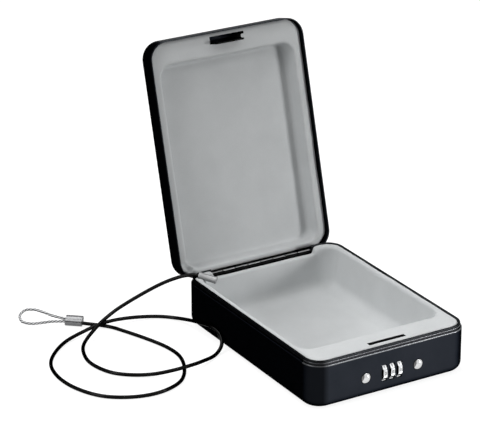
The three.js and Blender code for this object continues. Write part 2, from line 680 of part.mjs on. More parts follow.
// Latch plate carried by a button's stem, with the nose that holds the striker
function latchArm(side) {
  const inner = BUTTON_X - ARM_HALF_WIDTH;
  const outer = BUTTON_X + ARM_HALF_WIDTH;
  const tip = CATCH_X - CATCH_HALF_WIDTH - 0.6;
  const flat = polygon([
    [inner, LOCK_Z - 6], [outer, LOCK_Z - 6], [outer, CATCH_HIGH + 0.4], [tip, CATCH_HIGH + 0.4],
    [tip, CATCH_LOW - 1.8], [inner, CATCH_LOW - 5.8],
  ].map(([x, z]) => [side * x, z]));
  flat.holes.push(circle(side * BUTTON_X, LOCK_Z, STEM_RADIUS + GAP));
  const plate = extrudeY(flat, ARM_FRONT, ARM_FRONT + ARM_THICKNESS, 10);
  const noseTip = ARM_FRONT - BUTTON_TRAVEL - 1.8;
  const nose = polygon([
    [ARM_FRONT + 0.5, CATCH_LOW], [ARM_FRONT + 0.5, CATCH_HIGH], [ARM_FRONT - 2.4, CATCH_HIGH],
    [noseTip, CATCH_LOW + 1], [noseTip, CATCH_LOW],
  ]);
  const middle = side * CATCH_X;
  return join(plate, extrudeX(nose, middle - CATCH_HALF_WIDTH, middle + CATCH_HALF_WIDTH));
}

// Compression spring behind a latch plate
class Coil extends THREE.Curve {
  constructor(radius, start, length, turns, x) {
    super();
    Object.assign(this, { radius, start, length, turns, x });
  }

  getPoint(t, target = new THREE.Vector3()) {
    const angle = t * this.turns * 2 * Math.PI;
    return target.set(this.x + this.radius * Math.cos(angle), this.start + t * this.length,
      LOCK_Z + this.radius * Math.sin(angle));
  }
}

function buttonSpring(x) {
  const wire = 0.35;
  const start = ARM_FRONT + ARM_THICKNESS + GAP + wire;
  const end = LOCK_BACK - SHEET - GAP - wire;
  const turns = 4;
  const path = new Coil(3.1, start, end - start, turns, x);
  return new THREE.ExtrudeGeometry(circle(0, 0, wire), {
    extrudePath: path, steps: turns * 9, curveSegments: 2.5, bevelEnabled: false,
  });
}

function nut(x, z) {
  const shape = hexagon(x, z, NUT_WIDTH);
  shape.holes.push(circle(x, z, STUD_RADIUS + GAP));
  const front = FRONT + WALL + 2 * GAP + SHEET;
  return extrudeY(shape, front, front + NUT_HEIGHT, 6);
}

// Striker: bent plate with a catch window for each latch

function strikerPlate() {
  const top = TOTAL_HEIGHT - WALL - GAP;
  const half = STRIKER_HALF_WIDTH;
  const profile = polygon([
    [STRIKER_Y, STRIKER_FOOT], [STRIKER_Y + STRIKER_THICKNESS, STRIKER_FOOT],
    [STRIKER_Y + STRIKER_THICKNESS, top - STRIKER_THICKNESS],
    [STRIKER_Y + STRIKER_FLANGE, top - STRIKER_THICKNESS], [STRIKER_Y + STRIKER_FLANGE, top],
    [STRIKER_Y, top],
  ]);
  const windows = [-1, 1].map((side) =>
    box(side * CATCH_X - CATCH_HALF_WIDTH - 0.8, side * CATCH_X + CATCH_HALF_WIDTH + 0.8,
      STRIKER_Y - 2, STRIKER_Y + 3, CATCH_LOW - 0.5, CATCH_HIGH + 0.6));
  const corners = [-1, 1].map((side) => extrudeY(polygon([
    [side * (half + 1), STRIKER_FOOT - 1], [side * (half - 3), STRIKER_FOOT - 1],
    [side * (half - 3), STRIKER_FOOT], [side * half, STRIKER_FOOT + 3],
    [side * (half + 1), STRIKER_FOOT + 3],
  ]), STRIKER_Y - 2, STRIKER_Y + 3));
  const holes = [-STRIKER_STUD_X, STRIKER_STUD_X].map((x) => rod(STUD_RADIUS + GAP,
    point(x, STRIKER_STUD_Y, top - 2 * STRIKER_THICKNESS), point(x, STRIKER_STUD_Y, top + 1), 12));
  return cut(extrudeX(profile, -half, half), ...windows, ...corners, ...holes);
}

function strikerNut(side) {
  const x = side * STRIKER_STUD_X;
  const shape = hexagon(x, STRIKER_STUD_Y, NUT_WIDTH);
  shape.holes.push(circle(x, STRIKER_STUD_Y, STUD_RADIUS + GAP));
  const top = TOTAL_HEIGHT - WALL - STRIKER_THICKNESS - 2 * GAP;
  return extrude(shape, NUT_HEIGHT).translate(0, 0, top - NUT_HEIGHT);
}

// Security cable

function cableSleeve() {
  const bore = rod(CABLE_RADIUS + GAP, sleeveOuter.clone().addScaledVector(inward, -2),
    sleeveInner.clone().addScaledVector(inward, 2), 20);
  return cut(rod(SLEEVE_RADIUS, sleeveOuter, sleeveInner, 20), bore);
}

function tubeAlong(points, radius, sides, steps) {
  const path = new THREE.CatmullRomCurve3(points, false, "centripetal");
  return new THREE.ExtrudeGeometry(circle(0, 0, radius), {
    extrudePath: path, steps, curveSegments: sides / 2, bevelEnabled: false,
  });
}

const fall = CABLE_EXIT_Z / ROUTE_TOP;
const routePoints = CABLE_ROUTE.map(([x, y, z], i) =>
  point(x - WIDTH / 2, y + DEPTH / 2, i < FALLING_POINTS ? z * fall : z));

// The ferrule follows the cable's last stretch, rolled a little. The cable enters the
// lower of its two barrels.
const ferruleStart = routePoints.at(-1).clone();
const ferruleAxis = point(-0.764, 0.6455, 0).normalize();
const ferruleRoll = THREE.MathUtils.degToRad(FERRULE_TILT_DEG);
const barrelOffset = (FERRULE_WIDTH - FERRULE_HEIGHT) / 2;

function ferruleFrame(distance) {
  return frameAlong(ferruleStart.clone().addScaledVector(ferruleAxis, distance), ferruleAxis)
    .multiply(new THREE.Matrix4().makeRotationZ(ferruleRoll))
    .multiply(new THREE.Matrix4().makeTranslation(-barrelOffset, 0, 0));
}

function cableFerrule() {
  const radius = FERRULE_HEIGHT / 2;
  const shape = new THREE.Shape();
  shape.absarc(barrelOffset, 0, radius, -Math.PI / 2, Math.PI / 2);
  shape.absarc(-barrelOffset, 0, radius, Math.PI / 2, 1.5 * Math.PI);
  const body = new THREE.ExtrudeGeometry(shape, {
    depth: FERRULE_LENGTH - 0.8, bevelEnabled: true, bevelThickness: 0.4, bevelSize: 0.4,
    bevelOffset: -0.4, bevelSegments: 2, curveSegments: 8,
  });
  return body.applyMatrix4(ferruleFrame(GAP + 0.4));
}

// Teardrop of bare wire rope, both legs meeting the ferrule's far face: shares of its
// half width and of its length
function wireEye() {
  const legs = EYE_LEGS / EYE_WIDTH;
  const half = [
    [legs, 0], [legs * 1.33, 0.087], [0.4, 0.283], [0.78, 0.522], [1, 0.728], [0.8, 0.917],
  ];
  const mirrored = half.map(([across, along]) => [-across, along]).reverse();
  const place = ferruleFrame(FERRULE_LENGTH + 2 * GAP);
  const points = [...half, [0, 1], ...mirrored].map(([across, along]) =>
    point((across * EYE_WIDTH) / 2, along * EYE_LIFT, along * EYE_LENGTH).applyMatrix4(place));
  return tubeAlong(points, EYE_WIRE_RADIUS, 8, 40);
}

// Assembly

const safe = new THREE.Group();

safe.add(
  piece("base_shell", baseShell(), blackPaint),
  piece("rim_frame", rimFrame(), blackPlastic),
  piece("base_lining", baseLining(), greyFlock),
  piece("hinge_base_leaf", hingeLeaf(0, HINGE_Z - HINGE_DEPTH, HINGE_Z - KNUCKLE_RADIUS - 0.6), blackSteel),
  piece("hinge_pin", hingePin(), brightSteel),
  piece("lock_bracket", lockBracket(), zincSteel),
  piece("dial_cradle", dialCradle(), zincSteel),
  piece("dial_axle", dialAxle(), brightSteel),
  piece("axle_clip_left", axleClip(-1), blackSteel),
  piece("axle_clip_right", axleClip(1), blackSteel),
  piece("detent_spring", detentSpring(), brightSteel),
  piece("cable_sleeve", cableSleeve(), aluminium),
  piece("security_cable", tubeAlong(routePoints, CABLE_RADIUS, CABLE_SIDES, CABLE_STEPS), blackVinyl),
  piece("cable_ferrule", cableFerrule(), aluminium),
  piece("wire_eye", wireEye(), galvanised),
);
studPlaces.forEach(([x, z], i) => safe.add(piece(`lock_nut_${i + 1}`, nut(x, z), zincSteel)));
for (let i = 0; i < WHEELS; i++) {
  safe.add(piece(`dial_${i + 1}`, dialWheel(i), dialSilver));
}
for (const [name, side] of [["left", -1], ["right", 1]]) {
  safe.add(
    piece(`button_${name}`, button(side * BUTTON_X), chrome),
    piece(`latch_arm_${name}`, latchArm(side), zincSteel),
    piece(`button_spring_${name}`, buttonSpring(side * BUTTON_X), brightSteel),
  );
}

// The lid is drawn closed, then swung open about the hinge pin
const lid = new THREE.Group();
lid.position.set(0, HINGE_Y, HINGE_Z);
lid.rotation.x = -THREE.MathUtils.degToRad(LID_ANGLE_DEG);
const lidParts = [
  piece("lid_shell", lidShell(), blackPaint),
  piece("lid_lining", lidLining(), greyFlock),
  piece("hinge_lid_leaf", hingeLeaf(1, LID_LEAF_TOP, HINGE_Z + KNUCKLE_RADIUS + 0.6), blackSteel),
  piece("striker_plate", strikerPlate(), blackSteel),
  piece("striker_nut_left", strikerNut(-1), zincSteel),
  piece("striker_nut_right", strikerNut(1), zincSteel),
];
for (const part of lidParts) {
  part.position.set(0, -HINGE_Y, -HINGE_Z);
  lid.add(part);
}
safe.add(lid);

export default safe;
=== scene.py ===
# %% [markdown]
# # A portable steel safe, its lid open
# The safe is a shallow black steel box with a grey padded inside. Its lid stands open on a
# long hinge, three number wheels and two push buttons sit in the front wall, and a coated
# steel cable leaves over the rear left corner and ends in a crimped eye.
#
# The measured model comes in first, as a fixed frame. Each piece made below sits exactly
# where the measured piece is, and takes its place for the eye.

# %% Load the measured model
import math

import bmesh
import bpy
from mathutils import Matrix, Vector, noise


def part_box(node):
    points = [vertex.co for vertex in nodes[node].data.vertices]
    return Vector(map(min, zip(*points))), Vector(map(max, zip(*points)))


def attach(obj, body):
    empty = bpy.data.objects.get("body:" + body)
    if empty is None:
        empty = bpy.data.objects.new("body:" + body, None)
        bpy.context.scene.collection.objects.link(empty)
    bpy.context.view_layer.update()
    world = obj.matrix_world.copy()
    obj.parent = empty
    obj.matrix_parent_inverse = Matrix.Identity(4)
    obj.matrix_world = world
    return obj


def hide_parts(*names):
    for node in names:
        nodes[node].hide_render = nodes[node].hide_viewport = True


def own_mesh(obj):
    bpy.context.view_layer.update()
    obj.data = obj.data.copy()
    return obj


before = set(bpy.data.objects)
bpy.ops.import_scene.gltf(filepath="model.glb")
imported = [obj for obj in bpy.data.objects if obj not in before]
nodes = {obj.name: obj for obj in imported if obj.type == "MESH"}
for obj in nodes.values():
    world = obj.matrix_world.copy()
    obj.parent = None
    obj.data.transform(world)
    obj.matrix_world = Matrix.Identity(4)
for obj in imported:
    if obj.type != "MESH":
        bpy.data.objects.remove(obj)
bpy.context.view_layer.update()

print("measured pieces:", len(nodes))

# %% [markdown]
# ## The camera
# A product picture is taken from far away with a long lens, so that parallel edges stay
# nearly parallel. The camera stands a little above the box, to the left of its front, and
# its three axes are written as the columns of a matrix: right, up and back.

# %% Camera
def in_scene(name, data):
    """A new object in the scene that shows its data."""
    thing = bpy.data.objects.new(name, data)
    bpy.context.scene.collection.objects.link(thing)
    return thing


camera_data = bpy.data.cameras.new("camera")
camera_data.lens = 192.8
camera_data.clip_start = 0.1
camera_data.clip_end = 30
camera = in_scene("camera", camera_data)
back = Vector((-0.47195, -0.79362, 0.38397)).normalized()
right = Vector((-back.y, back.x, 0)).normalized()
up = back.cross(right)
turn = Matrix((right, up, back)).transposed().to_4x4()
level_error = Matrix.Rotation(math.radians(-0.085), 4, "Z")
stand = Matrix.Translation((-1.25787, -1.95252, 1.10832))
camera.matrix_world = stand @ turn @ level_error
bpy.context.scene.camera = camera
print("distance to the box:", round(camera.location.length, 2), "m")

# %% [markdown]
# ## The cable's way
# The cable is 3.8 mm thick and about a metre long. It leaves over the rear left corner,
# falls to the ground, makes two wide loops that cross each other in low humps, and leans on
# the box's side between them. A cable is best drawn as one line through a few chosen points,
# because a curve object gives that line its thickness by itself. The line is a Catmull-Rom
# spline, which passes through every point it is given.

# %% Route of the cable
ROUTE = [
    (-0.0777, 0.1100, 0.0506), (-0.0844, 0.1166, 0.0503), (-0.0918, 0.1234, 0.0480),
    (-0.1095, 0.1355, 0.0390), (-0.1510, 0.1454, 0.0194), (-0.1695, 0.1416, 0.0134),
    (-0.1840, 0.1346, 0.0098), (-0.2085, 0.1162, 0.0042), (-0.2165, 0.1027, 0.0028),
    (-0.2217, 0.0780, 0.0022), (-0.2145, 0.0498, 0.0020), (-0.1995, 0.0338, 0.0020),
    (-0.1810, 0.0232, 0.0027), (-0.1630, 0.0162, 0.0052), (-0.1496, 0.0147, 0.0062),
    (-0.1290, 0.0195, 0.0048), (-0.1053, 0.0316, 0.0023), (-0.0955, 0.0380, 0.0074),
    (-0.0924, 0.0465, 0.0135), (-0.0931, 0.0628, 0.0164), (-0.0924, 0.0857, 0.0114),
    (-0.0965, 0.1205, 0.0032), (-0.1105, 0.1365, 0.0024), (-0.1318, 0.1452, 0.0034),
    (-0.1563, 0.1466, 0.0056), (-0.1743, 0.1449, 0.0062), (-0.1902, 0.1429, 0.0046),
    (-0.2225, 0.1320, 0.0023), (-0.2535, 0.1006, 0.0020), (-0.2626, 0.0699, 0.0020),
    (-0.2595, 0.0362, 0.0020), (-0.2440, 0.0065, 0.0020), (-0.2170, -0.0102, 0.0020),
    (-0.1900, -0.0127, 0.0020), (-0.1630, -0.0005, 0.0020), (-0.1405, 0.0390, 0.0020),
    (-0.1394, 0.0694, 0.0020), (-0.1592, 0.1280, 0.0020), (-0.1670, 0.1435, 0.0020),
    (-0.1872, 0.1608, 0.0036),
]
CABLE_RADIUS = 0.0019


def smooth_line(points, steps):
    """Catmull-Rom line through all points, with its speed set by their distances."""
    points = [Vector(p) for p in points]
    padded = [2 * points[0] - points[1], *points, 2 * points[-1] - points[-2]]
    line = []
    for a, b, c, d in zip(padded, padded[1:], padded[2:], padded[3:]):
        gaps = [math.sqrt((q - p).length) for p, q in ((a, b), (b, c), (c, d))]
        leave = (b - a) / gaps[0] - (c - a) / (gaps[0] + gaps[1]) + (c - b) / gaps[1]
        arrive = (c - b) / gaps[1] - (d - b) / (gaps[1] + gaps[2]) + (d - c) / gaps[2]
        leave, arrive = leave * gaps[1], arrive * gaps[1]
        for i in range(steps):
            t = i / steps
            line.append(b + leave * t + (3 * (c - b) - 2 * leave - arrive) * t ** 2
                        + (2 * (b - c) + leave + arrive) * t ** 3)
    return line + [points[-1]]


def line_length(line):
    return sum((q - p).length for p, q in zip(line, line[1:]))


route = smooth_line(ROUTE, 12)
print("cable length:", round(line_length(route), 3), "m")

# %% Cable
def tube(name, lines, radius, sides):
    """A curve object whose open splines all have one thickness."""
    data = bpy.data.curves.new(name, "CURVE")
    data.dimensions = "3D"
    data.bevel_depth = 1
    data.bevel_resolution = sides
    data.use_fill_caps = True
    for line in lines:
        spline = data.splines.new("POLY")
        spline.points.add(len(line) - 1)
        for spot, co in zip(spline.points, line):
            spot.co = (*co, 1)
            spot.radius = radius
        spline.use_smooth = True
    return in_scene(name, data)


cable = tube("coated_cable", [route], CABLE_RADIUS, 5)
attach(cable, "base")
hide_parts("security_cable")
print("cable thickness:", 2000 * CABLE_RADIUS, "mm")

# %% [markdown]
# ## Tools of the workshop
# Sizes are easiest to read in millimetres, so every piece is drawn in millimetres and
# shrunk to metres when it is finished. Most of this box is pressed or moulded from rounded
# rectangles, so one helper draws such an outline and another bridges a pile of them into a
# skin. Lid pieces are drawn in the closed position and swung open at the end.

# %% Outlines, piles and finishing
MM = 0.001
HALF_WIDTH = 90
HALF_DEPTH = 122.15
BASE_HEIGHT = 45.3
TOTAL_HEIGHT = 71.5
CORNER = 19.1
BEND = 9
HINGE = Vector((0, 121.9, 41.8))
SWING = Matrix.Translation(HINGE) @ Matrix.Rotation(math.radians(-105.2), 4, "X")
LID_OPEN = SWING @ Matrix.Translation(-HINGE)


def outline(bm, half, front, rear, corner, z, segments=14):
    """A flat face with four rounded corners, those in front and behind may differ."""
    spots = [(-half, front), (half, front), (half, rear), (-half, rear)]
    corners = [bm.verts.new((x, y, z)) for x, y in spots]
    bm.faces.new(corners)
    radii = corner if isinstance(corner, tuple) else (corner, corner)
    for pair, radius in zip((corners[:2], corners[2:]), radii):
        bmesh.ops.bevel(bm, geom=pair, offset=radius, segments=segments, profile=0.5,
                        affect="VERTICES", material=-1)


def pile(outlines, band=False):
    """Bridges outlines, each at a height of its own, into one skin with two caps or none."""
    bm = bmesh.new()
    loops = []
    for spec in outlines:
        before = set(bm.edges)
        outline(bm, *spec)
        loops.append([e for e in bm.edges if e not in before])
    faces = list(bm.faces)
    ends = [] if band else [loops[0][0].link_faces[0], loops[-1][0].link_faces[0]]
    bmesh.ops.delete(bm, geom=[f for f in faces if f not in ends], context="FACES_ONLY")
    pairs = list(zip(loops, loops[1:])) + ([(loops[-1], loops[0])] if band else [])
    for low, high in pairs:
        bmesh.ops.bridge_loops(bm, edges=low + high)
    bmesh.ops.recalc_face_normals(bm, faces=bm.faces)
    return bm


def box_outline(inset, z):
    """The box's own outline, shrunk by an inset."""
    return (HALF_WIDTH - inset, -HALF_DEPTH + inset, HALF_DEPTH - inset, CORNER - inset, z)


def block(x0, x1, y0, y1, z0, z1):
    """A box between two limits on each axis."""
    bm = bmesh.new()
    bmesh.ops.create_cube(bm, size=1)
    bmesh.ops.scale(bm, vec=(x1 - x0, y1 - y0, z1 - z0), verts=bm.verts)
    bmesh.ops.translate(bm, vec=((x0 + x1) / 2, (y0 + y1) / 2, (z0 + z1) / 2), verts=bm.verts)
    return bm


def placed(bm, matrix):
    """The same mesh, moved, turned or scaled."""
    bmesh.ops.transform(bm, matrix=matrix, verts=bm.verts)
    return bm


def angles(*degrees):
    return [math.radians(t) for t in degrees]


def rod(radius, start, end, sides=32):
    """A round bar between two points."""
    bm = bmesh.new()
    start, end = Vector(start), Vector(end)
    bmesh.ops.create_cone(bm, cap_ends=True, segments=sides, radius1=radius, radius2=radius,
                          depth=(end - start).length)
    aim = (end - start).to_track_quat("Z", "Y").to_matrix().to_4x4()
    return placed(bm, Matrix.Translation((start + end) / 2) @ aim)


def turned(profile, place, sides=48):
    """Spins pairs of radius and height about Z, then moves the result to its place."""
    bm = bmesh.new()
    spots = [bm.verts.new((r, 0, z)) for r, z in profile]
    edges = [bm.edges.new(pair) for pair in zip(spots, spots[1:])]
    bmesh.ops.spin(bm, geom=spots + edges, cent=(0, 0, 0), axis=(0, 0, 1),
                   angle=2 * math.pi, steps=sides, use_merge=True)
    bmesh.ops.remove_doubles(bm, verts=bm.verts, dist=1e-4)
    bmesh.ops.recalc_face_normals(bm, faces=bm.faces)
    return placed(bm, place)


def mesh_object(name, bm):
    """A new object that holds a finished mesh."""
    mesh = bpy.data.meshes.new(name)
    bm.to_mesh(mesh)
    bm.free()
    return in_scene(name, mesh)


def final_mesh(holder):
    """An object's mesh with its modifiers, or as its text or curve draws it."""
    graph = bpy.context.evaluated_depsgraph_get()
    bm = bmesh.new()
    bm.from_mesh(holder.evaluated_get(graph).to_mesh())
    return bm


def modified(bm, kind, tools=(), **settings):
    """Runs one modifier on a mesh, once for each tool or once alone."""
    work = mesh_object("work", bm)
    helpers = [mesh_object("work", tool) for tool in tools]
    for helper in helpers or [None]:
        step = work.modifiers.new(kind, kind)
        if helper:
            step.object = helper
        for key, value in settings.items():
            setattr(step, key, value)
    result = final_mesh(work)
    for spent in [work, *helpers]:
        mesh = spent.data
        bpy.data.objects.remove(spent)
        bpy.data.meshes.remove(mesh)
    return result


def text_or_curve_mesh(holder):
    """The mesh of a helper object that draws text or a curve, which is then removed."""
    bm = final_mesh(holder)
    curve = holder.data
    bpy.data.objects.remove(holder)
    bpy.data.curves.remove(curve)
    return bm


def cut(bm, *tools):
    return modified(bm, "BOOLEAN", tools, operation="DIFFERENCE", solver="EXACT")


def join(bm, *tools):
    return modified(bm, "BOOLEAN", tools, operation="UNION", solver="EXACT")


def finish(bm, name, node, body, swing=False, sharp=32):
    """Turns a millimetre mesh into a piece of the safe."""
    placed(bm, Matrix.Scale(MM, 4) @ (LID_OPEN if swing else Matrix()))
    for face in bm.faces:
        face.smooth = True
    piece = mesh_object(name, bm)
    piece.data.set_sharp_from_angle(angle=math.radians(sharp))
    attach(piece, body)
    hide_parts(*([node] if isinstance(node, str) else node))
    print(name, "has", len(piece.data.polygons), "faces")
    return piece


def even_shading(piece):
    """Keeps large flat faces flat next to small rounded ones."""
    step = piece.modifiers.new("even shading", "WEIGHTED_NORMAL")
    step.keep_sharp = True
    return piece


def eased(piece, width, angle=40):
    """Takes the sharpness off cut edges."""
    step = piece.modifiers.new("eased edges", "BEVEL")
    step.width = width * MM
    step.segments = 2
    step.limit_method = "ANGLE"
    step.angle_limit = math.radians(angle)
    return even_shading(piece)


# %% [markdown]
# ## The pressed steel shells
# The base and the lid are deep drawn from one sheet: the wall flows into the floor in a
# nine millimetre round, and the open edge is rolled smooth. An outline is drawn for every
# step of the profile, outside first and then back down the inside, and the pile is bridged.
# The wheels and buttons then get their openings, which are cut as a press would cut them.

# %% Shell profile
WALL = 1.2


def shell(height):
    """Open tray from the middle of its underside, up the outside, over the edge and down."""
    turns = angles(*[90 * i / 8 for i in range(9)])
    inner = BEND - WALL
    outside = [(BEND - BEND * math.sin(a), BEND - BEND * math.cos(a)) for a in turns]
    edge = [(0, height - 0.95), (0.1, height - 0.5), (0.33, height - 0.18), (0.7, height),
            (1.0, height - 0.05), (WALL, height - 0.25)]
    inside = [(BEND - inner * math.sin(a), BEND - inner * math.cos(a)) for a in reversed(turns)]
    return pile([box_outline(inset, z) for inset, z in outside + edge + inside])


# %% Base shell
LOCK_Z = 21.4
FRONT = -HALF_DEPTH
WHEEL_X = (-8.6, 0, 8.6)
BUTTON_X = (-30, 30)
STUD_RADIUS = 1.95
HINGE_GAP = 60.3
upright = Matrix.Rotation(math.radians(90), 4, "X")


def wall_opening(x, half, low, high, corner):
    """A rounded tool that goes through the front wall."""
    bm = pile([(half, low, high, corner, 119), (half, low, high, corner, 125)])
    return placed(bm, Matrix.Translation((x, 0, 0)) @ upright)


slots = [wall_opening(x, 3, LOCK_Z - 8.5, LOCK_Z + 8.5, 0.8) for x in WHEEL_X]
holes = [rod(5.6, (x, FRONT - 2, LOCK_Z), (x, FRONT + 3, LOCK_Z), 48) for x in BUTTON_X]
notch = block(-HINGE_GAP, HINGE_GAP, 119.15, 125.15, 38.4, 50)
studs = [rod(STUD_RADIUS, (x, FRONT + 0.6, z), (x, FRONT + 5.9, z), 20) for x in (-49, 49)
         for z in (13.5, 30)]
base_shell = finish(cut(join(shell(BASE_HEIGHT), *studs), *slots, *holes, notch),
                    "base_pressed_shell", "base_shell", "base")
eased(base_shell, 0.22, 50)

# %% Lid shell
over = Matrix.Translation((0, 0, TOTAL_HEIGHT)) @ Matrix.Rotation(math.pi, 4, "X")
lid_body = placed(shell(TOTAL_HEIGHT - BASE_HEIGHT - 0.3), over)
corner_line = Vector((1, -1, 0)).normalized()
cable_corner = Vector((-HALF_WIDTH, HALF_DEPTH, 0)) + Vector((5.594, -5.594, 0))
CABLE_Z = 50.4


def inward(distance, z):
    """A point on the line that runs from the rear left corner into the box."""
    return cable_corner + corner_line * distance + Vector((0, 0, z))


arch = rod(5, inward(-6, 48.3), inward(4, 48.3))
lid_studs = [rod(STUD_RADIUS, (x, -104.5, 64.6), (x, -104.5, 70.9), 20) for x in (-11, 11)]
lid_shell = finish(cut(join(lid_body, *lid_studs), arch),
                   "lid_pressed_shell", "lid_shell", "lid", swing=True)
eased(lid_shell, 0.22, 50)

# %% [markdown]
# ## The rim
# A black moulded rim stands five millimetres out of the base all round and centres the lid.
# A small rounded step half way up its outer face, whose front rounding also gets a painted
# highlight, gives the thin second line of light above the front wall. It is open at the hinge
# and has a notch where the cable passes.

# %% Rim frame
RIM_STEP = 47.8
RIM_TOP = 49.9
STEP_ROUND = 0.45


def quarter_round(inset, top, radius):
    """Steps of a rounded outer edge, from its wall up to its top."""
    return [(inset + radius * (1 - math.cos(a)), top - radius * (1 - math.sin(a)))
            for a in angles(0, 18, 36, 54, 72, 90)]


rim_profile = [(1.3, 37), *quarter_round(1.3, RIM_STEP, STEP_ROUND),
               *quarter_round(1.75, RIM_TOP, 0.6), (3.5, RIM_TOP + 0.02),
               (3.78, RIM_TOP - 0.12), (3.9, RIM_TOP - 0.4), (3.9, 37.1)]
rim = pile([box_outline(inset, z) for inset, z in rim_profile], band=True)
hinge_gap = block(-HINGE_GAP, HINGE_GAP, 117.9, 124.15, 36, 52)
cable_notch = rod(2.2, inward(-4, CABLE_Z), inward(10, CABLE_Z), 24)
rim_frame = finish(cut(rim, hinge_gap, cable_notch),
                   "moulded_rim", "rim_frame", "base")
eased(rim_frame, 0.15, 50)

# %% [markdown]
# ## The soft linings
# The inside of the base and of the lid is a moulded foam tray with a flocked skin, so it has
# no sharp edge anywhere. A hard version is piled up from outlines first. A voxel remesh then
# makes one even net of small squares over it, and smoothing that net rounds every edge as
# the soft skin does. Last, a slow noise moves the skin by a fraction of a millimetre, since
# foam is never quite flat, and the openings for the striker are cut crisply as with a knife.

# %% Softening
SMOOTHINGS = 3
SWELL = 0.35


def softened(bm, voxel, passes, swell):
    """Even net over a hard form, rounded by smoothing and gently uneven."""
    bm = modified(bm, "REMESH", mode="VOXEL", voxel_size=voxel, use_smooth_shade=True)
    for _ in range(passes):
        bmesh.ops.smooth_vert(bm, verts=bm.verts, factor=0.5, use_axis_x=True,
                              use_axis_y=True, use_axis_z=True)
    bm.normal_update()
    moves = [v.normal * swell * noise.noise(v.co / 26) for v in bm.verts]
    for vert, move in zip(bm.verts, moves):
        vert.co += move
    return bm


# %% [markdown]
# ### The lining of the base
# The well's edge is further from the box's front than from its sides, so its outline has a
# formula of its own. A ledge between two lugs is sunk at the hinge, the lock gets a pocket
# under the front edge, and the cable and its sleeve get a bed at the corner. They are cut
# before the softening, which then rounds them too.

# %% Base lining
def well_outline(side, z):
    """Outline of the well at a distance from the box's side."""
    corners = (19 - 0.7 * (side - 6), 22 - 0.74 * (side - 6))
    return (HALF_WIDTH - side, FRONT + 0.75 * side + 25.4, HALF_DEPTH - 0.9 * side + 0.3,
            corners, z)


def padded_edge(degrees):
    """Outer top edge of the lining, which rolls over gently in front and tightly elsewhere."""
    a = math.radians(degrees)
    side, front = 4.1 + 1.2 * (1 - math.cos(a)), 4.1 + 4.5 * (1 - math.cos(a))
    corners = (CORNER - (side + front) / 2, CORNER - side)
    return (HALF_WIDTH - side, FRONT + front, HALF_DEPTH - side, corners,
            48 + 1.75 * math.sin(a))


lining_outside = [box_outline(9, 1.5), box_outline(6.6, 1.9), box_outline(4.1, 2.9),
                  *[padded_edge(t) for t in (0, 15, 30, 45, 60, 75, 90)]]
rim_roll = [well_outline(6.4 + 3.4 * math.sin(a), 46.6 + 3.4 * math.cos(a))
            for a in angles(0, 22, 45, 67, 86)]
walls = [well_outline(13.4, 26), well_outline(14.8, 17.5)]
foot_roll = [well_outline(14.8 + 13 * (1 - math.cos(a)), 6 + 11.5 * (1 - math.sin(a)))
             for a in angles(18, 36, 54, 72, 90)]
tray = pile(lining_outside + rim_roll + walls + foot_roll)

ledge = join(block(-66, 66, 100.15, 122.15, 44, 52), block(-60, 60, 100.15, 122.15, 42.2, 52))
lug_rounds = [rod(6, (x, 99, 44), (x, 123, 44), 40) for x in (-66, 66)]
ledge = cut(ledge, *lug_rounds)
sleeve_out = inward(7.5, 50.9)
sleeve_in = inward(26, 47.1)
cradle = rod(4.5, sleeve_out - corner_line * 1.2, sleeve_in + corner_line * 9.6)
cable_way = rod(2.6, inward(2, CABLE_Z), inward(8, CABLE_Z))
pocket = block(-55, 55, -124.15, -97.25, -1, 47)
tray = softened(cut(tray, ledge, pocket, cradle, cable_way), 1.25, SMOOTHINGS, SWELL)
base_slot = block(-20.3, 21.8, -112.8, -108.0, 40, 55)
base_lining = finish(cut(tray, base_slot), "base_soft_lining", "base_lining", "base",
                     sharp=50)

# %% [markdown]
# ### The lining of the lid
# The lid's tray is shallow, and its face stops just above the base's lining. A groove leaves
# room for the cable's sleeve and for the cable when the lid is closed. The opening round the
# striker is cut last, so its edge stays crisp.

# %% Lid lining
def tray_outline(side, z):
    """Outline of the lid's tray at a distance from the box's side."""
    corner = 14.8 - 0.75 * (side - 9.4)
    return (HALF_WIDTH - side, FRONT + side + 13.6, HALF_DEPTH - side + 2.8, corner, z)


def lid_outline(inset, rear, z):
    """The lining's outer wall, which keeps further off the steel behind, at the hinge leaf."""
    return (HALF_WIDTH - inset, FRONT + inset, HALF_DEPTH - rear, CORNER - inset, z)


LID_FACE = 50.7
tray_floor = [tray_outline(16.8 - 3.4 * math.sin(a), 64.1 + 3.4 * math.cos(a))
              for a in angles(0, 20, 40, 60, 80)]
tray_roll = [tray_outline(9.7 + 1.8 * math.cos(a), 52.5 - 1.8 * math.sin(a))
             for a in angles(8, 32, 55, 77, 89)]
lid_outside = [lid_outline(2.3, 3.7, LID_FACE), lid_outline(1.6, 3.1, 51.1),
               lid_outline(1.3, 2.85, 52.0), lid_outline(1.3, 2.85, 62.5),
               lid_outline(1.4, 2.9, 64), box_outline(3.2, 67.4), box_outline(4.8, 68.9),
               box_outline(9, 70)]
lid_tray = pile(tray_floor + tray_roll + lid_outside)
sleeve_room = rod(6.6, sleeve_out + Vector((-2.5, 0.3, 0.9)),
                  sleeve_in + Vector((1.0, -3.2, 0.9)))
cable_room = rod(3.2, inward(-4, 51.2), inward(8, 51.2))
lid_tray = softened(cut(lid_tray, sleeve_room, cable_room), 1.2, SMOOTHINGS, SWELL)
opening = block(-17.9, 18.9, -117.2, -109.4, 45, 80)
thumb = block(14.9, 22.4, -117.2, -114.4, 45, 80)
flange_room = block(-18.4, 18.4, -112, -96.6, 64.2, 75)
lid_lining = finish(cut(lid_tray, opening, thumb, flange_room), "lid_soft_lining",
                    "lid_lining", "lid", swing=True, sharp=50)

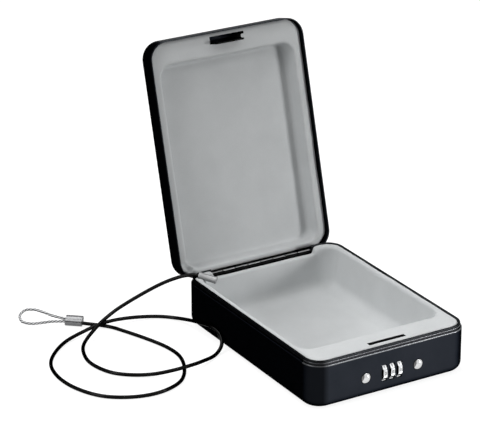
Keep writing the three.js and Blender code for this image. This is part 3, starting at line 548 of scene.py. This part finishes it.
# %% [markdown]
# ## The hinge
# Two steel leaves are rolled round one pin, four knuckles each, turn about. A knuckle is a
# short thick tube, so a small closed profile is spun round the pin's axis. The tabs and the
# strip are joined to the tubes, and the bore is cut through everything at once.

# %% Hinge leaves and pin
PITCH = 15.0
LEAF_FACES = (119.35, 120.65)
across = Matrix.Rotation(math.radians(90), 4, "Y")


def knuckle(start):
    """A short solid barrel on the hinge's axis, its bore is cut later."""
    length = PITCH - 0.3
    profile = [(0, 0), (2.5, 0), (2.8, 0.3), (2.8, length - 0.3), (2.5, length), (0, length)]
    return turned(profile, Matrix.Translation((start + 0.15, HINGE.y, HINGE.z)) @ across, 36)


def leaf(first, low, high, near):
    """A strip from low to high, with tabs that reach its knuckles from its near edge."""
    strip = block(-59.85, 59.85, *LEAF_FACES, low, high)
    tabs, barrels = [], []
    for i in range(first, 8, 2):
        start = -60 + i * PITCH
        ends = sorted((near, HINGE.z))
        tabs.append(block(start + 0.18, start + PITCH - 0.18, *LEAF_FACES,
                          ends[0] - 0.2, ends[1] + 0.2))
        barrels.append(knuckle(start))
    return cut(join(strip, *tabs, *barrels), rod(1.56, (-61, *HINGE.yz), (61, *HINGE.yz), 32))


base_leaf = finish(leaf(0, 21.8, 38.4, 38.4), "hinge_leaf_base", "hinge_base_leaf", "base")
lid_leaf = finish(leaf(1, 45.2, 62.2, 45.2), "hinge_leaf_lid", "hinge_lid_leaf", "lid",
                  swing=True)
pin_profile = [(0, 0), (1.2, 0), (1.5, 0.3), (1.5, 119.4), (1.2, 119.7), (0, 119.7)]
pin = finish(turned(pin_profile, Matrix.Translation((-59.85, HINGE.y, HINGE.z)) @ across, 28),
             "hinge_rod", "hinge_pin", "base")
for part in (base_leaf, lid_leaf, pin):
    even_shading(part)

# %% [markdown]
# ## Number wheels
# Each wheel is a ten-sided drum with a flat field for every number and a fine double ridge
# between the fields, where a fingertip finds its hold. The drum starts as a circle whose
# points are moved out to the ridges or in to the fields, and is then pulled to its width.
# The numbers are plain characters, made solid and laid on the fields.

# %% Wheel drums
WHEEL_Y = FRONT + 8.2
FIELD = 9.9
RIDGE = 10.6
WHEEL_WIDTH = 5.2


def wheel_radius(degrees):
    """Distance from the axle at an angle inside one field, from -18 to 18 degrees."""
    if abs(degrees) <= 12.1:
        return FIELD / math.cos(math.radians(degrees))
    return RIDGE if abs(degrees) in (13.5, 16.5) else RIDGE - 0.35


def drum():
    """A ten-sided drum with ridges, centred on its own axis."""
    bm = bmesh.new()
    steps = (-18, -16.5, -15, -13.5, -12, -6, 0, 6, 12, 13.5, 15, 16.5)
    rim = []
    for field in range(10):
        for step in steps:
            angle = math.radians(field * 36 + step)
            radius = wheel_radius(step)
            rim.append(bm.verts.new((0, -radius * math.cos(angle), radius * math.sin(angle))))
    face = bm.faces.new(rim)
    pulled = bmesh.ops.extrude_face_region(bm, geom=[face])
    moved = [g for g in pulled["geom"] if isinstance(g, bmesh.types.BMVert)]
    bmesh.ops.translate(bm, vec=(WHEEL_WIDTH, 0, 0), verts=moved)
    bmesh.ops.translate(bm, vec=(-WHEEL_WIDTH / 2, 0, 0), verts=bm.verts)
    sides = [f for f in bm.faces if len(f.verts) > 4]
    rims = {e for f in sides for e in f.edges}
    bmesh.ops.recalc_face_normals(bm, faces=bm.faces)
    bmesh.ops.bevel(bm, geom=list(rims), offset=0.5, segments=2, profile=0.5, affect="EDGES",
                    material=-1)
    return bm


# %% [markdown]
# ### Digits
# Text is an object of its own kind in Blender. It gets a little depth, is made a mesh, and is
# then laid on its field and turned round the axle with it. Ten of them are merged into one
# piece for each wheel, which turns with that wheel.

# %% Digits and wheels
def digit(text, x, turn):
    """One solid character, facing forwards on its field, turned about the axle."""
    words = bpy.data.curves.new("digit", "FONT")
    words.body = text
    words.size = 4.3
    words.align_x = "CENTER"
    words.align_y = "CENTER"
    words.extrude = 0.06
    words.resolution_u = 3
    bm = text_or_curve_mesh(in_scene("digit", words))
    bmesh.ops.remove_doubles(bm, verts=bm.verts, dist=1e-4)
    bmesh.ops.recalc_face_normals(bm, faces=bm.faces)
    place = (Matrix.Translation((x, WHEEL_Y, LOCK_Z)) @ Matrix.Rotation(turn, 4, "X")
             @ Matrix.Translation((0, -FIELD, 0)) @ upright)
    return placed(bm, place)


def merged(pieces):
    """Several meshes in one, side by side."""
    whole = bmesh.new()
    for bm in pieces:
        mesh = bpy.data.meshes.new("part")
        bm.to_mesh(mesh)
        bm.free()
        whole.from_mesh(mesh)
        bpy.data.meshes.remove(mesh)
    return whole


wheels, digits = [], []
for number, x in enumerate(WHEEL_X, 1):
    wheel = placed(drum(), Matrix.Translation((x, WHEEL_Y, LOCK_Z)))
    hub = rod(4.4, (x - 4.15, WHEEL_Y, LOCK_Z), (x + 4.15, WHEEL_Y, LOCK_Z), 40)
    bore = rod(2.09, (x - 7, WHEEL_Y, LOCK_Z), (x + 7, WHEEL_Y, LOCK_Z), 32)
    body = f"wheel_{number}"
    wheels.append(even_shading(finish(cut(join(wheel, hub), bore), f"number_wheel_{number}",
                                      f"dial_{number}", body, sharp=28)))
    marks = merged([digit(str(k), x, math.radians(36 * k)) for k in range(10)])
    digits.append(finish(marks, f"wheel_digits_{number}", [], body))

# %% [markdown]
# ## Push buttons
# A button is turned from brass and chrome plated: a shallow dome with a soft rim, a collar
# that keeps it behind the wall, and a stepped stem for the latch plate. The profile is spun
# round the button's own axis.

# %% Buttons
aim_back = Matrix.Rotation(math.radians(-90), 4, "X")
dome_radius = 7.2
rim_radius = 5.0
dome_angle = math.asin(rim_radius / dome_radius)
dome = [(dome_radius * math.sin(dome_angle * i / 9),
         dome_radius * (1 - math.cos(dome_angle * i / 9))) for i in range(10)]
button_profile = [*dome, (5.2, 2.25), (5.3, 2.55), (5.3, 4.3), (7.0, 4.3), (7.0, 5.5),
                  (3.2, 5.5), (3.2, 17.05), (2.0, 17.05), (2.0, 18.5), (1.7, 18.75), (0, 18.75)]
buttons = []
for side, x in zip(("left", "right"), BUTTON_X):
    place = Matrix.Translation((x, FRONT - 2.8, LOCK_Z)) @ aim_back
    buttons.append(even_shading(finish(turned(button_profile, place, 56),
                                       f"push_button_{side}", f"button_{side}",
                                       f"{side}_latch", sharp=40)))

# %% [markdown]
# ## Button springs
# A spring is a tube along a screw line of four turns, as long as the measured spring.

# %% Coil springs
SPRING_WIRE = 0.35
COIL_RADIUS = 3.1
COIL_TURNS = 4


def coil_spring(side, x):
    """A spring round the button's axis, between the ends of the measured spring."""
    node = f"button_spring_{side}"
    low, high = (end.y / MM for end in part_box(node))
    rise = (high - low - 2 * SPRING_WIRE) / math.radians(COIL_TURNS * 360)
    line = [Vector((x + COIL_RADIUS * math.cos(a), low + SPRING_WIRE + rise * a,
                    LOCK_Z + COIL_RADIUS * math.sin(a))) * MM
            for a in angles(*range(0, COIL_TURNS * 360 + 1, 12))]
    bm = placed(text_or_curve_mesh(tube("coil", [line], SPRING_WIRE * MM, 3)),
                Matrix.Scale(1 / MM, 4))
    bmesh.ops.remove_doubles(bm, verts=bm.verts, dist=1e-3)
    spring = finish(bm, f"coil_spring_{side}", node, "base", sharp=60)
    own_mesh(spring)
    return spring


springs = [coil_spring(side, x) for side, x in zip(("left", "right"), BUTTON_X)]

# %% [markdown]
# ## Striker, latches and lock plates
# The striker is a folded plate that hangs from the lid, with a window for each latch. Behind
# the front wall a bracket and a cradle hold the wheels and buttons. The measured meshes have
# the right form already, so copies of them are cleaned and their edges eased, as deburred
# plates have them.

# %% Eased copies of sheet metal
def eased_copy(node, name, body, width):
    """A cleaned copy of a measured mesh, with its edges eased by a width."""
    bm = bmesh.new()
    bm.from_mesh(nodes[node].data)
    bmesh.ops.remove_doubles(bm, verts=bm.verts, dist=1e-6)
    bmesh.ops.dissolve_limit(bm, angle_limit=math.radians(1), verts=bm.verts, edges=bm.edges)
    placed(bm, Matrix.Scale(1 / MM, 4))
    return eased(finish(bm, name, node, body), width, 30)


striker = eased_copy("striker_plate", "folded_striker", "lid", 0.2)
latches = [eased_copy(f"latch_arm_{side}", f"latch_plate_{side}", f"{side}_latch",
                      0.12) for side in ("left", "right")]
bracket = eased_copy("lock_bracket", "folded_bracket", "base", 0.15)
cradle_plate = eased_copy("dial_cradle", "folded_cradle", "base", 0.15)

# %% [markdown]
# ## Cable fittings
# A short aluminium tube is crimped on the cable's inner end, and an oval ferrule joins the
# far end to an eye of bare wire rope. The tube is a spun profile with slightly belled ends.
# The ferrule is an oval pushed along its length, with the long dents that the crimping jaws
# leave.

# %% Inner sleeve
sleeve_axis = (sleeve_in - sleeve_out).normalized()
sleeve_length = (sleeve_in - sleeve_out).length
sleeve_profile = [(2.3, 0.25), (2.6, 0), (3.6, 0), (3.85, 0.25), (3.88, 0.9), (3.6, 2.6),
                  (3.5, 5.5), (3.5, sleeve_length - 5.5), (3.62, sleeve_length - 2.8),
                  (3.88, sleeve_length - 1.1), (3.88, sleeve_length - 0.3),
                  (3.7, sleeve_length), (2.7, sleeve_length), (2.35, sleeve_length - 0.4),
                  (2.2, sleeve_length - 2.5), (2.2, 2.0), (2.3, 0.25)]
aim = sleeve_axis.to_track_quat("Z", "Y").to_matrix().to_4x4()
sleeve = finish(turned(sleeve_profile, Matrix.Translation(sleeve_out) @ aim, 56),
                "crimped_sleeve", "cable_sleeve", "base", sharp=50)

# %% Ferrule
cable_end = Vector(ROUTE[-1]) / MM
ferrule_axis = Vector((-0.764, 0.6455, 0)).normalized()
BARREL = 2.8


def along_ferrule(distance):
    """Local axes on the ferrule: X across its two barrels, Z along the cable."""
    side = Vector((0, 0, 1)).cross(ferrule_axis).normalized()
    axes = Matrix((side, ferrule_axis.cross(side), ferrule_axis)).transposed().to_4x4()
    lean = Matrix.Rotation(math.radians(-20), 4, "Z")
    return (Matrix.Translation(cable_end + ferrule_axis * distance) @ axes @ lean
            @ Matrix.Translation((-BARREL, 0, 0)))


def ferrule_outline(shrink):
    """Oval of two half rounds, with the long dents of the crimping jaws."""
    radius = 3.5 - shrink
    half = []
    for degrees in range(-90, 91, 6):
        a = math.radians(degrees)
        dent = 0.45 if degrees in (48, 54) else 0
        half.append((BARREL + (radius - dent) * math.cos(a), (radius - dent) * math.sin(a)))
    flat = [(2.2, 0), (1.9, 0.5), (1.5, 0.5), (1.2, 0), (-1.2, 0), (-1.6, 0.4), (-2.2, 0.4)]
    half += [(x, radius - dent) for x, dent in flat]
    return half + [(-x, -y) for x, y in half]


ferrule = bmesh.new()
loops = []
for z, shrink in ((0.3, 0.5), (0.45, 0.2), (0.8, 0), (17.4, 0), (17.75, 0.2), (17.9, 0.5)):
    ring = [ferrule.verts.new((x, y, z)) for x, y in ferrule_outline(shrink)]
    loops.append(ferrule.faces.new(ring))
edges = [list(f.edges) for f in loops]
bmesh.ops.delete(ferrule, geom=loops[1:-1], context="FACES_ONLY")
for low, high in zip(edges, edges[1:]):
    bmesh.ops.bridge_loops(ferrule, edges=low + high)
bmesh.ops.recalc_face_normals(ferrule, faces=ferrule.faces)
ferrule_piece = even_shading(finish(placed(ferrule, along_ferrule(0)), "crimped_ferrule",
                                    "cable_ferrule", "base", sharp=40))

# %% [markdown]
# ## The eye of wire rope
# Bare rope is seven strands: one straight in the middle and six laid round it. Each strand
# is a thin tube whose line circles the eye's middle line as it goes, so the twist shows as
# real steps of light and shade. The middle strand and every other outer one also get painted
# shade.

# %% Wire rope eye
EYE_HALF = [(0.178, 0), (0.237, 0.087), (0.4, 0.283), (0.78, 0.522), (1, 0.728), (0.8, 0.917)]
eye_shares = [*EYE_HALF, (0, 1), *[(-x, y) for x, y in reversed(EYE_HALF)]]
at_eye = along_ferrule(18.2)
eye_line = smooth_line([at_eye @ Vector((x * 10.1, y * 2.1, y * 47.4)) for x, y in eye_shares],
                       16)


def strand(line, offset, start, lay):
    """A line that circles another at a fixed distance, once for every lay length."""
    flat = (at_eye.to_3x3() @ Vector((0, 1, 0))).normalized()
    twisted, travelled = [], 0.0
    for i, here in enumerate(line):
        ahead = line[min(i + 1, len(line) - 1)]
        behind = line[max(i - 1, 0)]
        if i:
            travelled += (here - line[i - 1]).length
        side = (ahead - behind).normalized().cross(flat)
        angle = start + 2 * math.pi * travelled / lay
        twisted.append((here + side * offset * math.cos(angle)
                        + flat * offset * math.sin(angle)) * MM)
    return twisted


strands = [strand(eye_line, 1.0, math.radians(60 * k), 12) for k in range(6)]
rope = tube("rope_eye", [*strands, [p * MM for p in eye_line]], 0.5 * MM, 2)
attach(rope, "base")
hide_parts("wire_eye")

# %% [markdown]
# ## Finishes
# Each finish starts from the same shader. Colour, roughness and a little relief come from
# noise that is read in the object's own coordinates, so the grain keeps its real size.

# %% Finish helpers
def feed(tree, node, inputs):
    """Gives inputs of a node numbers, colours or what other nodes put out."""
    for name, value in inputs.items():
        if isinstance(value, bpy.types.NodeSocket):
            tree.links.new(value, node.inputs[name])
        else:
            node.inputs[name].default_value = value
    return node.outputs


def added(tree, kind, inputs, **settings):
    """A new node with its settings and inputs. What it puts out is handed back."""
    node = tree.nodes.new("ShaderNode" + kind)
    for key, value in settings.items():
        setattr(node, key, value)
    return feed(tree, node, inputs)


def finish_nodes(name):
    """A new material, its shader and the coordinates of the piece."""
    material = bpy.data.materials.new(name)
    material.use_nodes = True
    tree = material.node_tree
    return material, tree, tree.nodes["Principled BSDF"], added(tree, "TexCoord", {})["Object"]


def grain(tree, place, scale, detail=4, stretch=(1, 1, 1), rough=0.55):
    """Noise of a real size: scale is the number of grains in a metre."""
    spots = added(tree, "Mapping", {"Vector": place, "Scale": stretch})["Vector"]
    return added(tree, "TexNoise", {"Vector": spots, "Scale": scale, "Detail": detail,
                                    "Roughness": rough})["Fac"]


def spread(tree, value, low, high, start=0.3, end=0.7):
    """Turns a noise into numbers between low and high."""
    return added(tree, "MapRange", {"Value": value, "From Min": start, "From Max": end,
                                    "To Min": low, "To Max": high})["Result"]


def two_tone(tree, value, dark, light, start=0.3, end=0.7):
    """Turns a noise into colours between two tones."""
    node = tree.nodes.new("ShaderNodeValToRGB")
    for stop, position, tone in zip(node.color_ramp.elements, (start, end), (dark, light)):
        stop.position = position
        stop.color = (*tone, 1)
    return feed(tree, node, {"Fac": value})["Color"]


def relief(tree, shader, value, height):
    """Lets a noise stand up from the surface by a height in metres."""
    bump = added(tree, "Bump", {"Strength": 1, "Distance": height, "Height": value})
    feed(tree, shader, {"Normal": bump["Normal"]})


def grey(value):
    return (value, value, value)


def dress(finish_material, *pieces):
    """One finish for whole pieces."""
    for piece in pieces:
        piece.data.materials.clear()
        piece.data.materials.append(finish_material)


def dress_faces(finish_material, piece, chosen):
    """A second finish for the faces that a test on the face chooses."""
    piece.data.materials.append(finish_material)
    count = 0
    for face in piece.data.polygons:
        if chosen(face):
            face.material_index = len(piece.data.materials) - 1
            count += 1
    print(piece.name, "has", count, "faces in", finish_material.name)


# %% [markdown]
# ### Black coats
# Black paint has hardly any colour of its own, and what the eye sees is mostly what it
# mirrors. A metallic shader with a very dark colour mirrors just that small share. Its edge
# tone is kept low, so that the walls seen at a slant stay black. The sides of the box that
# face left get painted shade: the coat gets darker over the last millimetres before the
# left side, while the front stays lighter. The front of the rolled steel edge and the
# rounding of the rim's step get a lighter tone, a painted highlight for their fine lines of
# light, and the lid's edge a faint one. The rim above its step gets painted shade, and the
# tops of the hinge's knuckles get a bright painted highlight.

# %% Black coats
def deeper_left(tree, place, colour):
    """Painted shade: the coat's tone is deep on the left side and rises within five millimetres.
    """
    x = added(tree, "SeparateXYZ", {"Vector": place})["X"]
    share = spread(tree, x, 0.25, 1, -0.0775, -0.0715)
    return added(tree, "VectorMath", {0: colour, "Scale": share}, operation="SCALE")["Vector"]


def black_finish(name, dark, light, rough_low, rough_high, edge_tone=0.2, peel=1500,
                 height=3e-6, left=False):
    """Sprayed black coat with the faint waviness of paint."""
    material, tree, shader, place = finish_nodes(name)
    colour = two_tone(tree, grain(tree, place, 45, 3), dark, light)
    gloss = spread(tree, grain(tree, place, 220, 5), rough_low, rough_high)
    feed(tree, shader, {"Base Color": deeper_left(tree, place, colour) if left else colour,
                        "Roughness": gloss, "Metallic": 1,
                        "Specular Tint": (*grey(edge_tone), 1)})
    relief(tree, shader, grain(tree, place, peel, 2), height)
    return material


# left=True gives these coats painted shade towards the box's left side.
enamel = black_finish("black_enamel", (0.0195, 0.0225, 0.0285), (0.0235, 0.0265, 0.0335),
                      0.31, 0.39, 0.2, 900, 4e-6, left=True)
painted_edge_highlight = black_finish("painted_edge_highlight", (0.15, 0.155, 0.165), (0.19, 0.195, 0.205),
                           0.22, 0.3, 0.27, 700, 2e-6, left=True)
rim_plastic_and_edge_highlight = black_finish("rim_plastic_and_edge_highlight", (0.034, 0.036, 0.040), (0.042, 0.044, 0.048),
                           0.2, 0.3, left=True)
rim_painted_shade = black_finish("rim_painted_shade", (0.026, 0.028, 0.031), (0.032, 0.034, 0.037),
                         0.3, 0.4, left=True)
hinge_black = black_finish("hinge_black", grey(0.0015), grey(0.003), 0.25, 0.35)
painted_knuckle_highlight = black_finish("painted_knuckle_highlight", grey(0.45), grey(0.6), 0.3, 0.4, 0.6)
vinyl = black_finish("cable_vinyl", grey(0.004), grey(0.01), 0.12, 0.18, 0.3, 1200, 4e-6)
dress(enamel, base_shell, lid_shell)
# Painted highlight: the front of the base's rolled edge gets a lighter tone for its line of light.
dress_faces(painted_edge_highlight, base_shell,
            lambda face: face.center.z > 0.04435 and face.center.y < -0.1)
closed = LID_OPEN.inverted()
LID_EDGE = 45.9
# Painted highlight: the lid's steel edge ring gets the rim's lighter black for a faint line of
# light; the rim itself has that black as its own colour.
dress_faces(rim_plastic_and_edge_highlight, lid_shell, lambda face: (closed @ (face.center / MM)).z < LID_EDGE)
dress(rim_plastic_and_edge_highlight, rim_frame)
# Painted shade: the rim above its step gets a darker tone.
dress_faces(rim_painted_shade, rim_frame, lambda face: face.center.z > (RIM_STEP + 0.02) * MM)
# Painted highlight: the front rounding of the rim's step gets the same lighter tone.
dress_faces(painted_edge_highlight, rim_frame, lambda face: face.center.y < -0.1
            and (RIM_STEP - STEP_ROUND) * MM < face.center.z < RIM_STEP * MM and face.normal.y < 0)
dress(hinge_black, base_leaf, lid_leaf, striker)
# Painted highlight: the tops of the knuckles get a bright tone for the line of light along the
# hinge.
for hinge_part in (base_leaf, lid_leaf):
    dress_faces(painted_knuckle_highlight, hinge_part, lambda face: face.normal.z > 0.8
                and face.center.z > 0.0442 and 0.1209 < face.center.y < 0.123)
dress(vinyl, cable)

# %% [markdown]
# ### Ink
# The digits are printed in dull black ink: a plain dark coat without any metallic part.

# %% Ink
def plain_coat(name, dark, light, rough_low, rough_high, specular, scale, height):
    """A dull coat with its own faint clouds."""
    material, tree, shader, place = finish_nodes(name)
    feed(tree, shader, {"Base Color": two_tone(tree, grain(tree, place, 60), dark, light),
                        "Roughness": spread(tree, grain(tree, place, 300), rough_low,
                                            rough_high),
                        "Specular IOR Level": specular})
    relief(tree, shader, grain(tree, place, scale, 3), height)
    return material


digit_ink = plain_coat("digit_ink", grey(0.01), grey(0.02), 0.4, 0.6, 0.3, 1500, 2e-6)
dress(digit_ink, *digits)

# %% [markdown]
# ### Flock, and painted shade in the openings
# Flock is a felt of very short fibres: it has no gloss, a fine speckle, and a paler bloom
# where the surface turns away from the eye, which is what a sheen layer does. The faces inside
# the two openings for the striker get a near-black dull coat, painted shade for the dark
# hollow behind them.

# %% Grey flock
flock, tree, shader, place = finish_nodes("grey_flock")
cloud = spread(tree, grain(tree, place, 28, 4), 0.2, 0.5)
speck = grain(tree, place, 2600, 2, rough=0.7)
mixed = added(tree, "Math", {0: cloud, 1: spread(tree, speck, 0.0, 0.5)}, operation="ADD")
colour = two_tone(tree, mixed["Value"], (0.498, 0.514, 0.52), (0.616, 0.632, 0.638), 0.15, 0.95)
feed(tree, shader, {"Base Color": colour, "Roughness": 0.95, "Specular IOR Level": 0.08,
                    "Sheen Weight": 0.15, "Sheen Roughness": 0.6})
relief(tree, shader, speck, 6e-5)
dress(flock, base_lining, lid_lining)
painted_slot_shade = plain_coat("painted_slot_shade_coat", grey(0.006), grey(0.016), 0.9, 1.0, 0.05, 900, 2e-4)


def in_base_slot(face):
    """Inside the base lining's opening for the striker."""
    x, y, z = face.center / MM
    return -20.5 < x < 22 and -113 < y < -107.8 and z < 49.9 and abs(face.normal.z) < 0.99


def in_lid_slot(face):
    """Inside the lid lining's opening round the striker."""
    x, y, z = closed @ (face.center / MM)
    return -18.7 < x < 22.6 and y < (-109.2 if z < 64.3 else -96.4) and z > 50.9 and y > -117.4


dress_faces(painted_slot_shade, base_lining, in_base_slot)
dress_faces(painted_slot_shade, lid_lining, in_lid_slot)

# %% [markdown]
# ### Metals
# Metals differ in colour, gloss and the direction of their scratches. Drawn parts have them
# along their length, and zinc has small dull clouds. The crimped ferrule gets painted highlight
# and painted shade in bands across its curve, each button's dome gets painted shade towards the
# left and its collar in the hole a near-black painted shade, and the wheels' sides get painted
# shade too, so these faces get tones of their own by where they lie or which way they face.

# %% Metals
def metal(name, dark, light, rough_low, rough_high, stretch=(1, 1, 1), scale=500,
          height=3e-6):
    """Bare or plated metal, its grain stretched along an axis."""
    material, tree, shader, place = finish_nodes(name)
    lines = grain(tree, place, scale, 4, stretch)
    feed(tree, shader, {"Base Color": two_tone(tree, lines, dark, light), "Metallic": 1,
                        "Roughness": spread(tree, lines, rough_low, rough_high)})
    relief(tree, shader, lines, height)
    return material


chrome = metal("chrome_plate", (0.6, 0.605, 0.61), (0.66, 0.665, 0.67), 0.1, 0.18, scale=90,
               height=1e-6)
collar_painted_shade = metal("collar_painted_shade_chrome", (0.03, 0.03, 0.032), (0.05, 0.05, 0.052), 0.3, 0.4,
                    scale=300)
painted_dome_shade = metal("painted_dome_shade", (0.12, 0.12, 0.122), (0.17, 0.17, 0.172), 0.2, 0.3, scale=300)
wheel_metal = metal("wheel_silver", (0.58, 0.59, 0.6), (0.72, 0.73, 0.74), 0.3, 0.42,
                    (0.15, 1, 1), 2200)
painted_wheel_side_shade = black_finish("painted_wheel_side_shade", grey(0.012), grey(0.02), 0.35, 0.45)
sleeve_metal = metal("drawn_aluminium", (0.22, 0.223, 0.226), (0.3, 0.303, 0.306), 0.45, 0.58,
                     (1, 1, 1), 900, 8e-6)
ferrule_painted_shade = metal("ferrule_painted_shade", (0.05, 0.05, 0.052), (0.08, 0.08, 0.082), 0.4, 0.5)
crimp_mid = metal("crimp_mid", (0.13, 0.132, 0.135), (0.17, 0.172, 0.175), 0.45, 0.55)
ferrule_painted_highlight = metal("ferrule_painted_highlight", (0.24, 0.242, 0.245), (0.3, 0.302, 0.305), 0.5, 0.6)
rope_metal = metal("galvanised_rope", (0.4, 0.405, 0.41), (0.55, 0.555, 0.56), 0.35, 0.55,
                   scale=1500, height=6e-6)
painted_rope_shade = metal("painted_rope_shade", (0.05, 0.05, 0.052), (0.09, 0.09, 0.092), 0.35, 0.55,
                   scale=1500)
zinc = metal("zinc_plate", (0.5, 0.5, 0.49), (0.62, 0.62, 0.6), 0.28, 0.42, scale=260)
spring_steel = metal("spring_steel", (0.55, 0.56, 0.57), (0.7, 0.7, 0.71), 0.18, 0.3,
                     (1, 0.1, 1), 1400)
dress(chrome, *buttons)
# Painted shade: the left side of each dome gets a darker chrome, and the collar inside the hole a
# near-black one.
for button in buttons:
    dress_faces(painted_dome_shade, button,
                lambda face: face.normal.dot(Vector((-0.94, 0, 0.34))) > 0.5)
    dress_faces(collar_painted_shade, button, lambda face: face.center.y / MM > FRONT - 0.6)
dress(wheel_metal, *wheels)
# Painted shade: the sides of each wheel, which sit in their slots, get a near-black coat.
for wheel in wheels:
    dress_faces(painted_wheel_side_shade, wheel, lambda face: abs(face.normal.x) > 0.3)
dress(sleeve_metal, sleeve)
dress(crimp_mid, ferrule_piece)
flat_ferrule = along_ferrule(0).inverted()


def band(low, high):
    """Chooses the ferrule's faces by where they lie across it."""
    return lambda face: low < (flat_ferrule @ (face.center / MM)).x < high


# Painted highlight and painted shade: bands across the ferrule get lighter and darker copies of
# its metal.
dress_faces(ferrule_painted_shade, ferrule_piece, band(-9, -2.1))
dress_faces(ferrule_painted_highlight, ferrule_piece, band(-2.1, -0.6))
dress_faces(ferrule_painted_highlight, ferrule_piece, band(1.2, 2.3))
dress_faces(ferrule_painted_shade, ferrule_piece, band(4.3, 5.1))
# Painted shade: the middle strand and every other outer strand get a darker tone of the same
# metal.
dress(rope_metal, rope)
rope.data.materials.append(painted_rope_shade)
for number, spline in enumerate(rope.data.splines):
    spline.material_index = 1 if number in (1, 3, 5, 6) else 0
dress(zinc, *latches, bracket, cradle_plate)
dress(zinc, *[nodes[f"lock_nut_{i}"] for i in (1, 2, 3, 4)], nodes["striker_nut_left"],
      nodes["striker_nut_right"])
dress(spring_steel, pin, nodes["dial_axle"], nodes["detent_spring"], nodes["axle_clip_left"],
      nodes["axle_clip_right"], *springs)

# %% [markdown]
# ## Floor, surroundings and lamps
# The picture is a plain product shot on white. The surroundings and the floor show white to
# the eye and to gloss, but hardly light the object, so that the lamps draw its forms.

# %% Floor and world
bm = bmesh.new()
bmesh.ops.create_grid(bm, x_segments=1, y_segments=1, size=6)
bmesh.ops.translate(bm, vec=(0, 0, -0.0003), verts=bm.verts)
floor = mesh_object("floor", bm)


def seen_rays(tree):
    """One for rays from the eye, or through gloss or glass, and nothing for the rest."""
    path = added(tree, "LightPath", {})
    total = path["Is Camera Ray"]
    for other in ("Is Glossy Ray", "Is Transmission Ray"):
        total = added(tree, "Math", {0: total, 1: path[other]}, operation="MAXIMUM")["Value"]
    return total


floor_look = bpy.data.materials.new("floor_white")
floor_look.use_nodes = True
tree = floor_look.node_tree
glow = added(tree, "Math", {0: seen_rays(tree), 1: 0.88}, operation="MULTIPLY")["Value"]
feed(tree, tree.nodes["Principled BSDF"],
     {"Base Color": (*grey(0.3), 1), "Roughness": 1, "Specular IOR Level": 0,
      "Emission Color": (1, 1, 1, 1), "Emission Strength": glow})
dress(floor_look, floor)

world = bpy.data.worlds.new("studio")
bpy.context.scene.world = world
world.use_nodes = True
tree = world.node_tree
feed(tree, tree.nodes["Background"],
     {"Color": (1, 1, 1, 1), "Strength": spread(tree, seen_rays(tree), 0.01, 1, 0, 1)})

print("floor and surroundings are white to the eye")

# %% [markdown]
# ### Lamps
# Six flat lamps share the light. The strongest stands high behind the box and lights the
# linings from above, with two weaker ones high on the left and overhead to soften it. A low
# one to the right of the front lights the inside of the open lid, and a low one on the left
# opens the shadows in the well. A small one above the right front is mirrored as fine lines
# along the rims. Each is given as the share of full white that it puts on a white card, so
# the shares can be compared and added at a glance.

# %% Lamps
def lamp(name, direction, distance, size, share, size_y=None):
    """A flat lamp that lights a white card facing it to a share of full white."""
    data = bpy.data.lights.new(name, "AREA")
    data.energy = share * (math.pi * distance) ** 2
    data.size = size
    if size_y:
        data.shape = "RECTANGLE"
        data.size_y = size_y
    thing = in_scene(name, data)
    direction = Vector(direction).normalized()
    aim = direction.to_track_quat("Z", "Y").to_matrix().to_4x4()
    thing.matrix_world = Matrix.Translation(direction * distance + Vector((0, 0, 0.05))) @ aim
    print(name, "lamp lights a card to", share)


lamp("low front", (0.66, -0.72, 0.2), 1.6, 0.3, 0.46)
lamp("rear high", (0, 0.5, 0.86), 1.6, 0.8, 0.66)
lamp("left high", (-0.5, 0.1, 0.86), 1.6, 0.6, 0.20)
lamp("overhead", (0, 0, 1), 1.6, 1.2, 0.21)
lamp("left low", (-0.9, -0.1, 0.4), 1.6, 0.6, 0.255)
lamp("edge", (0.472, -0.384, 0.79), 1.3, 0.25, 0.12, 0.35)

bpy.context.scene.view_settings.view_transform = "Standard"
